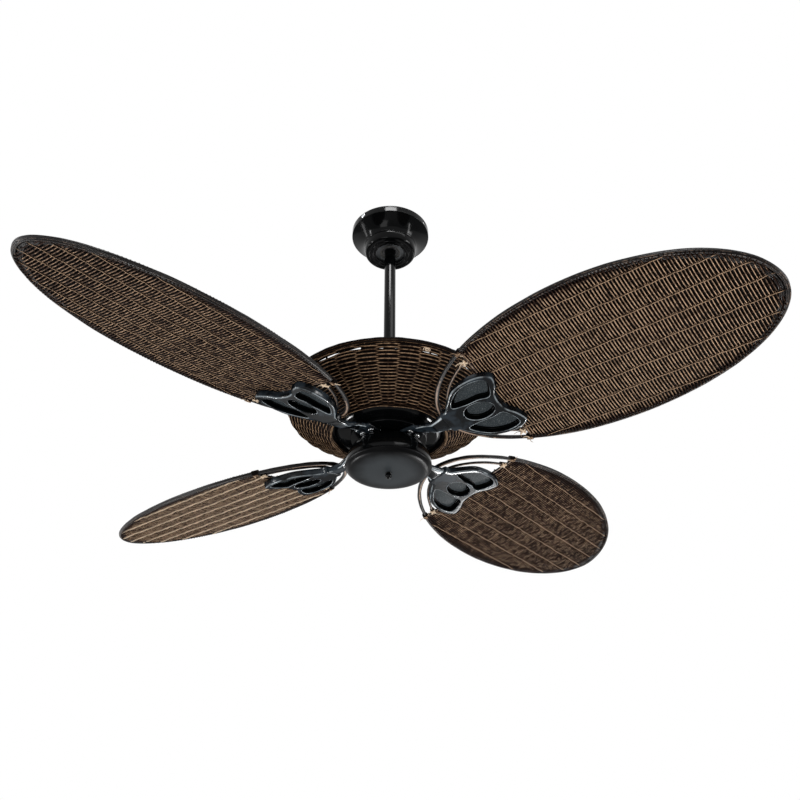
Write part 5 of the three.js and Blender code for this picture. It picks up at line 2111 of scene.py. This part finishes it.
@dataclass
class SwitchHousing:
    """The dome under the blades, its neck, the cap that closes it and the finial."""

    neck_radius: float = 20.0
    neck_top_z: float = -420.7
    dome_top_z: float = -431.7
    dome_foot_z: float = -469.7
    shoulder_radius: float = 36.0
    dome_radius: float = 64.5
    wall: float = 2.0
    bore: float = 8.8
    cap_depth: float = 10.0
    cap_face_radius: float = 55.0
    cap_wall: float = 1.5
    cap_bore: float = 2.8
    stud_radius: float = 2.5
    stud_length: float = 48.0
    finial_radius: float = 5.0
    finial_length: float = 10.0

    def _dome_side(self, inset: float) -> list[Corner]:
        """The dome's outer side, shrunk by inset: a quarter of an ellipse that flares to its foot.

        Args:
            inset: how far inside the outer face.

        Returns:
            (radius, z, fillet) of each point.
        """
        width = self.dome_radius - self.shoulder_radius
        height = self.dome_top_z - self.dome_foot_z - inset
        return [
            (
                self.shoulder_radius + width * math.sin(a) - inset,
                self.dome_top_z - inset - height * (1 - math.cos(a)),
                0.0,
            )
            for a in np.linspace(0, math.pi / 2, 22)
        ]

    def build(self) -> None:
        """Builds and dresses the pieces."""
        corners = [
            (self.bore, self.neck_top_z, 0.4),
            (self.neck_radius, self.neck_top_z, 1.0),
            (self.neck_radius, self.dome_top_z + 3.4, 0.8),
            (self.neck_radius + 5, self.dome_top_z + 2.6, 1.0),
            (self.neck_radius + 5.6, self.dome_top_z, 0.8),
            *self._dome_side(0),
            *self._dome_side(self.wall)[::-1],
            (self.bore, self.dome_top_z - self.wall, 0.4),
        ]
        dome = lathed(corners, 6, 144)
        piece("housing_dome", dome, ENAMEL, Body.MOTOR, ["switch_housing"])
        top = self.dome_foot_z - 0.3
        foot = top - self.cap_depth
        radius, face, wall = self.dome_radius, self.cap_face_radius, self.cap_wall
        cap = [
            (radius, top, 0.4),
            (radius, top - 2.0, 0.9),
            (radius - 1.2, top - 2.6, 0.8),
            (face + 3, foot + 1.6, 9.0),
            (self.cap_bore, foot, 0.3),
            (self.cap_bore, foot + wall, 0.3),
            (face + 2, foot + 1.6 + wall, 8.0),
            (radius - wall, top, 0.4),
        ]
        piece("cap_plate", lathed(cap, 8, 160), CAP_PAINT, Body.MOTOR, ["bottom_cap"])
        knob_top = foot - 0.3
        middle = knob_top - self.finial_length + self.finial_radius
        ball = [
            (self.finial_radius * math.cos(a), middle + self.finial_radius * math.sin(a), 0.0)
            for a in np.linspace(0.9, -math.pi / 2, 16)
        ]
        stud = [
            (0.0, knob_top + self.stud_length, 0.0),
            (self.stud_radius, knob_top + self.stud_length, 0.4),
            (self.stud_radius, knob_top, 0.2),
            (4.5, knob_top, 0.4),
            (4.5, knob_top - 1.2, 0.4),
            (3.4, knob_top - 1.8, 0.4),
        ]
        ball[-1] = (0.0, middle - self.finial_radius, 0.0)
        knob = turned(rounded([*stud, *ball], False), False, 64)
        piece("finial", knob, ENAMEL, Body.MOTOR, ["finial_knob"])


# ---- The whole fan ----


DRESSED = {
    "ceiling_bracket": DARK_ZINC,
    "swivel_seat": NYLON,
    "motor_shaft": STEEL,
    "bowl_frame": SATIN,
    "capacitor": BLACK_PLASTIC,
    **dict.fromkeys(("hanger_pin", "coupling_pin", "shaft_nut"), ZINC),
    **dict.fromkeys(("stator_core", "rotor_ring"), IRON),
    **dict.fromkeys(("stator_coil_upper", "stator_coil_lower"), COPPER),
    **dict.fromkeys(("bearing_upper", "bearing_lower"), STEEL),
}


@dataclass
class Fan:
    """The fan, sub-assembly by sub-assembly."""

    blade_plane_z: float = -430.0
    pitch_deg: float = 15.3
    azimuths_deg: tuple = (51.1, 143.0, 228.1, 321.4)
    # Each blade's row tone, cord tone and cord radius; the tones differ from blade to blade to paint the light
    # that each blade gets.
    painted_light_tones: tuple = ((0.12, 0.885, 0.65), (0.4, 0.95, 1.15), (0.22, 0.88, 0.7), (0.48, 0.6, 0.75))
    screw_circle: float = 47.0
    screw_spread: float = 8.0
    blade_screw_out: float = 212.0
    blade_screw_across: float = 42.0

    def __post_init__(self) -> None:
        """Builds the finishes, in their order, and the strands' tree."""
        for finish in FINISHES:
            coated(finish)
        self.strands = StrandTree()

    def _arm_place(self, azimuth_deg: float) -> Matrix:
        """Where a blade's arm stands."""
        turn = Matrix.Rotation(math.radians(azimuth_deg), 4, "Z")
        return Matrix.Translation((0, 0, self.blade_plane_z)) @ turn

    def build_blades(self) -> None:
        """Builds the blades, their brackets and their screws."""
        pitch = Matrix.Rotation(-math.radians(self.pitch_deg), 4, "X")
        bracket = PetalBracket(pitch_deg=self.pitch_deg).mesh()
        bracket_screw = PanScrew(2.5, 11.0, 4.5, 2.5).mesh()
        blade_screw = PanScrew(2.0, 10.0, 5.0, 2.2).mesh()
        under, over = [], []
        for number, azimuth in enumerate(self.azimuths_deg, 1):
            arm = self._arm_place(azimuth)
            WovenBlade(number, arm @ pitch, self.strands, *self.painted_light_tones[number - 1]).build()
            casting = moved(bracket, arm)
            node = f"blade_bracket_{number}"
            piece(f"petal_bracket_{number}", casting, CASTING, Body.ROTOR, [node], 50.0)
            for side in (-1, 1):
                spot = Matrix.Translation((self.screw_circle, side * self.screw_spread, -0.3))
                under.append(moved(bracket_screw, arm @ spot @ Matrix.Rotation(math.pi, 4, "X")))
                spot = Matrix.Translation((self.blade_screw_out, side * self.blade_screw_across, 3.4))
                over.append(moved(blade_screw, arm @ pitch @ spot))
        for name, meshes, finish, slot in (
            ("bracket_screw", under, STEEL, "bright_steel"),
            ("blade_screw", over, ZINC, "zinc"),
        ):
            nodes = [f"{name}_{number}{side}" for number in range(1, 5) for side in "ab"]
            piece(f"{name}s", joined(meshes), finish, Body.ROTOR, nodes)

    def dress_nodes(self) -> None:
        """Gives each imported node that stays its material."""
        for name, finish in DRESSED.items():
            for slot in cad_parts[name].material_slots:
                slot.material = coated(finish)
            log.info("%s: dressed", name)

    def build(self) -> None:
        """Builds the whole fan."""
        for part in (CeilingEnd(), MotorShells(), SwitchHousing(), WovenBowl(self.strands)):
            part.build()
        self.build_blades()
        self.dress_nodes()


# ---- Studio ----


LAMPS = (
    ("front_low", (-0.9, -1.9, -1.7), (1.0, 1.4), 15, True),
    ("left_glint", (-1.05, 0.76, -1.8), (0.5, 0.14), 30, False),
    ("right_glint", (0.85, 1.02, -1.8), (0.5, 0.14), 30, False),
    ("right_wall", (2.1, -0.45, -0.25), (0.7, 0.9), 20, False),
    ("left_wall", (-2.1, -0.4, -0.4), (0.12, 0.9), 12, False),
    ("back_low", (0.8, 1.7, -1.5), (0.5, 0.5), 9, True),
    ("right", (2.0, -0.6, -0.9), (0.16, 1.8), 14, True),
    ("left", (-2.0, 0.3, -0.8), (0.16, 1.6), 9, True),
    ("band", (0.06, -2.0, 1.86), (1.15, 0.42), 60, False),
    ("rod", (1.25, -1.5, 1.25), (1.6, 0.5), 13, True),
)


@dataclass
class Studio:
    """The camera, the lamps, the pale world and the floor."""

    camera_place: tuple = (0.01705, -1.170, -1.1098)
    camera_rise_deg: float = 32.94
    lens_mm: float = 40.31
    floor_z: float = -2.4
    floor_half: float = 5.0
    ambient: float = 0.4
    lamp_aim: tuple = (0, 0, -0.4)

    def _camera(self) -> None:
        """Sets the camera where the photograph was taken from."""
        data = bpy.data.cameras.new("camera")
        data.lens = self.lens_mm
        camera = bpy.data.objects.new("camera", data)
        camera.location = self.camera_place
        camera.rotation_euler = (math.radians(90 + self.camera_rise_deg), 0, 0)
        bpy.context.scene.collection.objects.link(camera)
        bpy.context.scene.camera = camera

    def _world(self) -> None:
        """A world that is white to the eye and soft on the fan."""
        world = bpy.data.worlds.new("world")
        bpy.context.scene.world = world
        world.use_nodes = True
        sheet = Sheet(world.node_tree)
        path = sheet.add("ShaderNodeLightPath")
        names = ("Is Camera Ray", "Is Glossy Ray", "Is Transmission Ray")
        rays = [Wire(sheet, path.outputs[name]) for name in names]
        shown = (rays[0] + rays[1] + rays[2]).step(0.4, 0.6)
        soft = sheet.out("ShaderNodeBackground", None, {"Color": (1, 1, 1, 1), "Strength": self.ambient})
        white = sheet.out("ShaderNodeBackground", None, {"Color": (1, 1, 1, 1), "Strength": 1.0})
        both = sheet.out("ShaderNodeMixShader", None, {0: shown, 1: soft, 2: white})
        sheet.add("ShaderNodeOutputWorld", None, {0: both})

    def _lamp(self, name: str, place: Corner, size: tuple[float, float], power: float, matt: bool) -> None:
        """Adds a soft lamp that faces the motor.

        Args:
            name: its name.
            place: where it stands, in metres.
            size: its width and height, in metres.
            power: its power in watts.
            matt: whether it lights matt surfaces too, or only shows in glossy ones.
        """
        data = bpy.data.lights.new(name, "AREA")
        data.shape = "RECTANGLE"
        data.size, data.size_y = size
        data.energy = power
        lamp = bpy.data.objects.new(name, data)
        lamp.location = place
        aim = Vector(self.lamp_aim) - Vector(place)
        lamp.rotation_euler = aim.to_track_quat("-Z", "Y").to_euler()
        lamp.visible_diffuse = matt
        bpy.context.scene.collection.objects.link(lamp)

    def _floor(self) -> None:
        """Adds the pale floor."""
        surface = Surface("pale_floor")
        tint = surface.mix(surface.noise(3), seen(240, 240, 240), seen(246, 246, 245))
        finish = surface.dress(Base_Color=tint, Roughness=0.8)
        mesh = bpy.data.meshes.new("floor")
        half = self.floor_half
        corners = [(-half, -half), (half, -half), (half, half), (-half, half)]
        mesh.from_pydata([(x, y, self.floor_z) for x, y in corners], [], [(0, 1, 2, 3)])
        mesh.materials.append(finish)
        floor = bpy.data.objects.new("floor", mesh)
        bpy.context.scene.collection.objects.link(floor)

    def build(self) -> None:
        """Builds the studio."""
        bpy.context.scene.view_settings.view_transform = "Standard"
        self._camera()
        self._world()
        self._floor()
        for lamp in LAMPS:
            self._lamp(*lamp)


def main() -> None:
    """Builds the studio and the fan."""
    logging.basicConfig(level=logging.INFO, format="%(message)s")
    Studio().build()
    Fan().build()


if __name__ == "__main__":
    main()
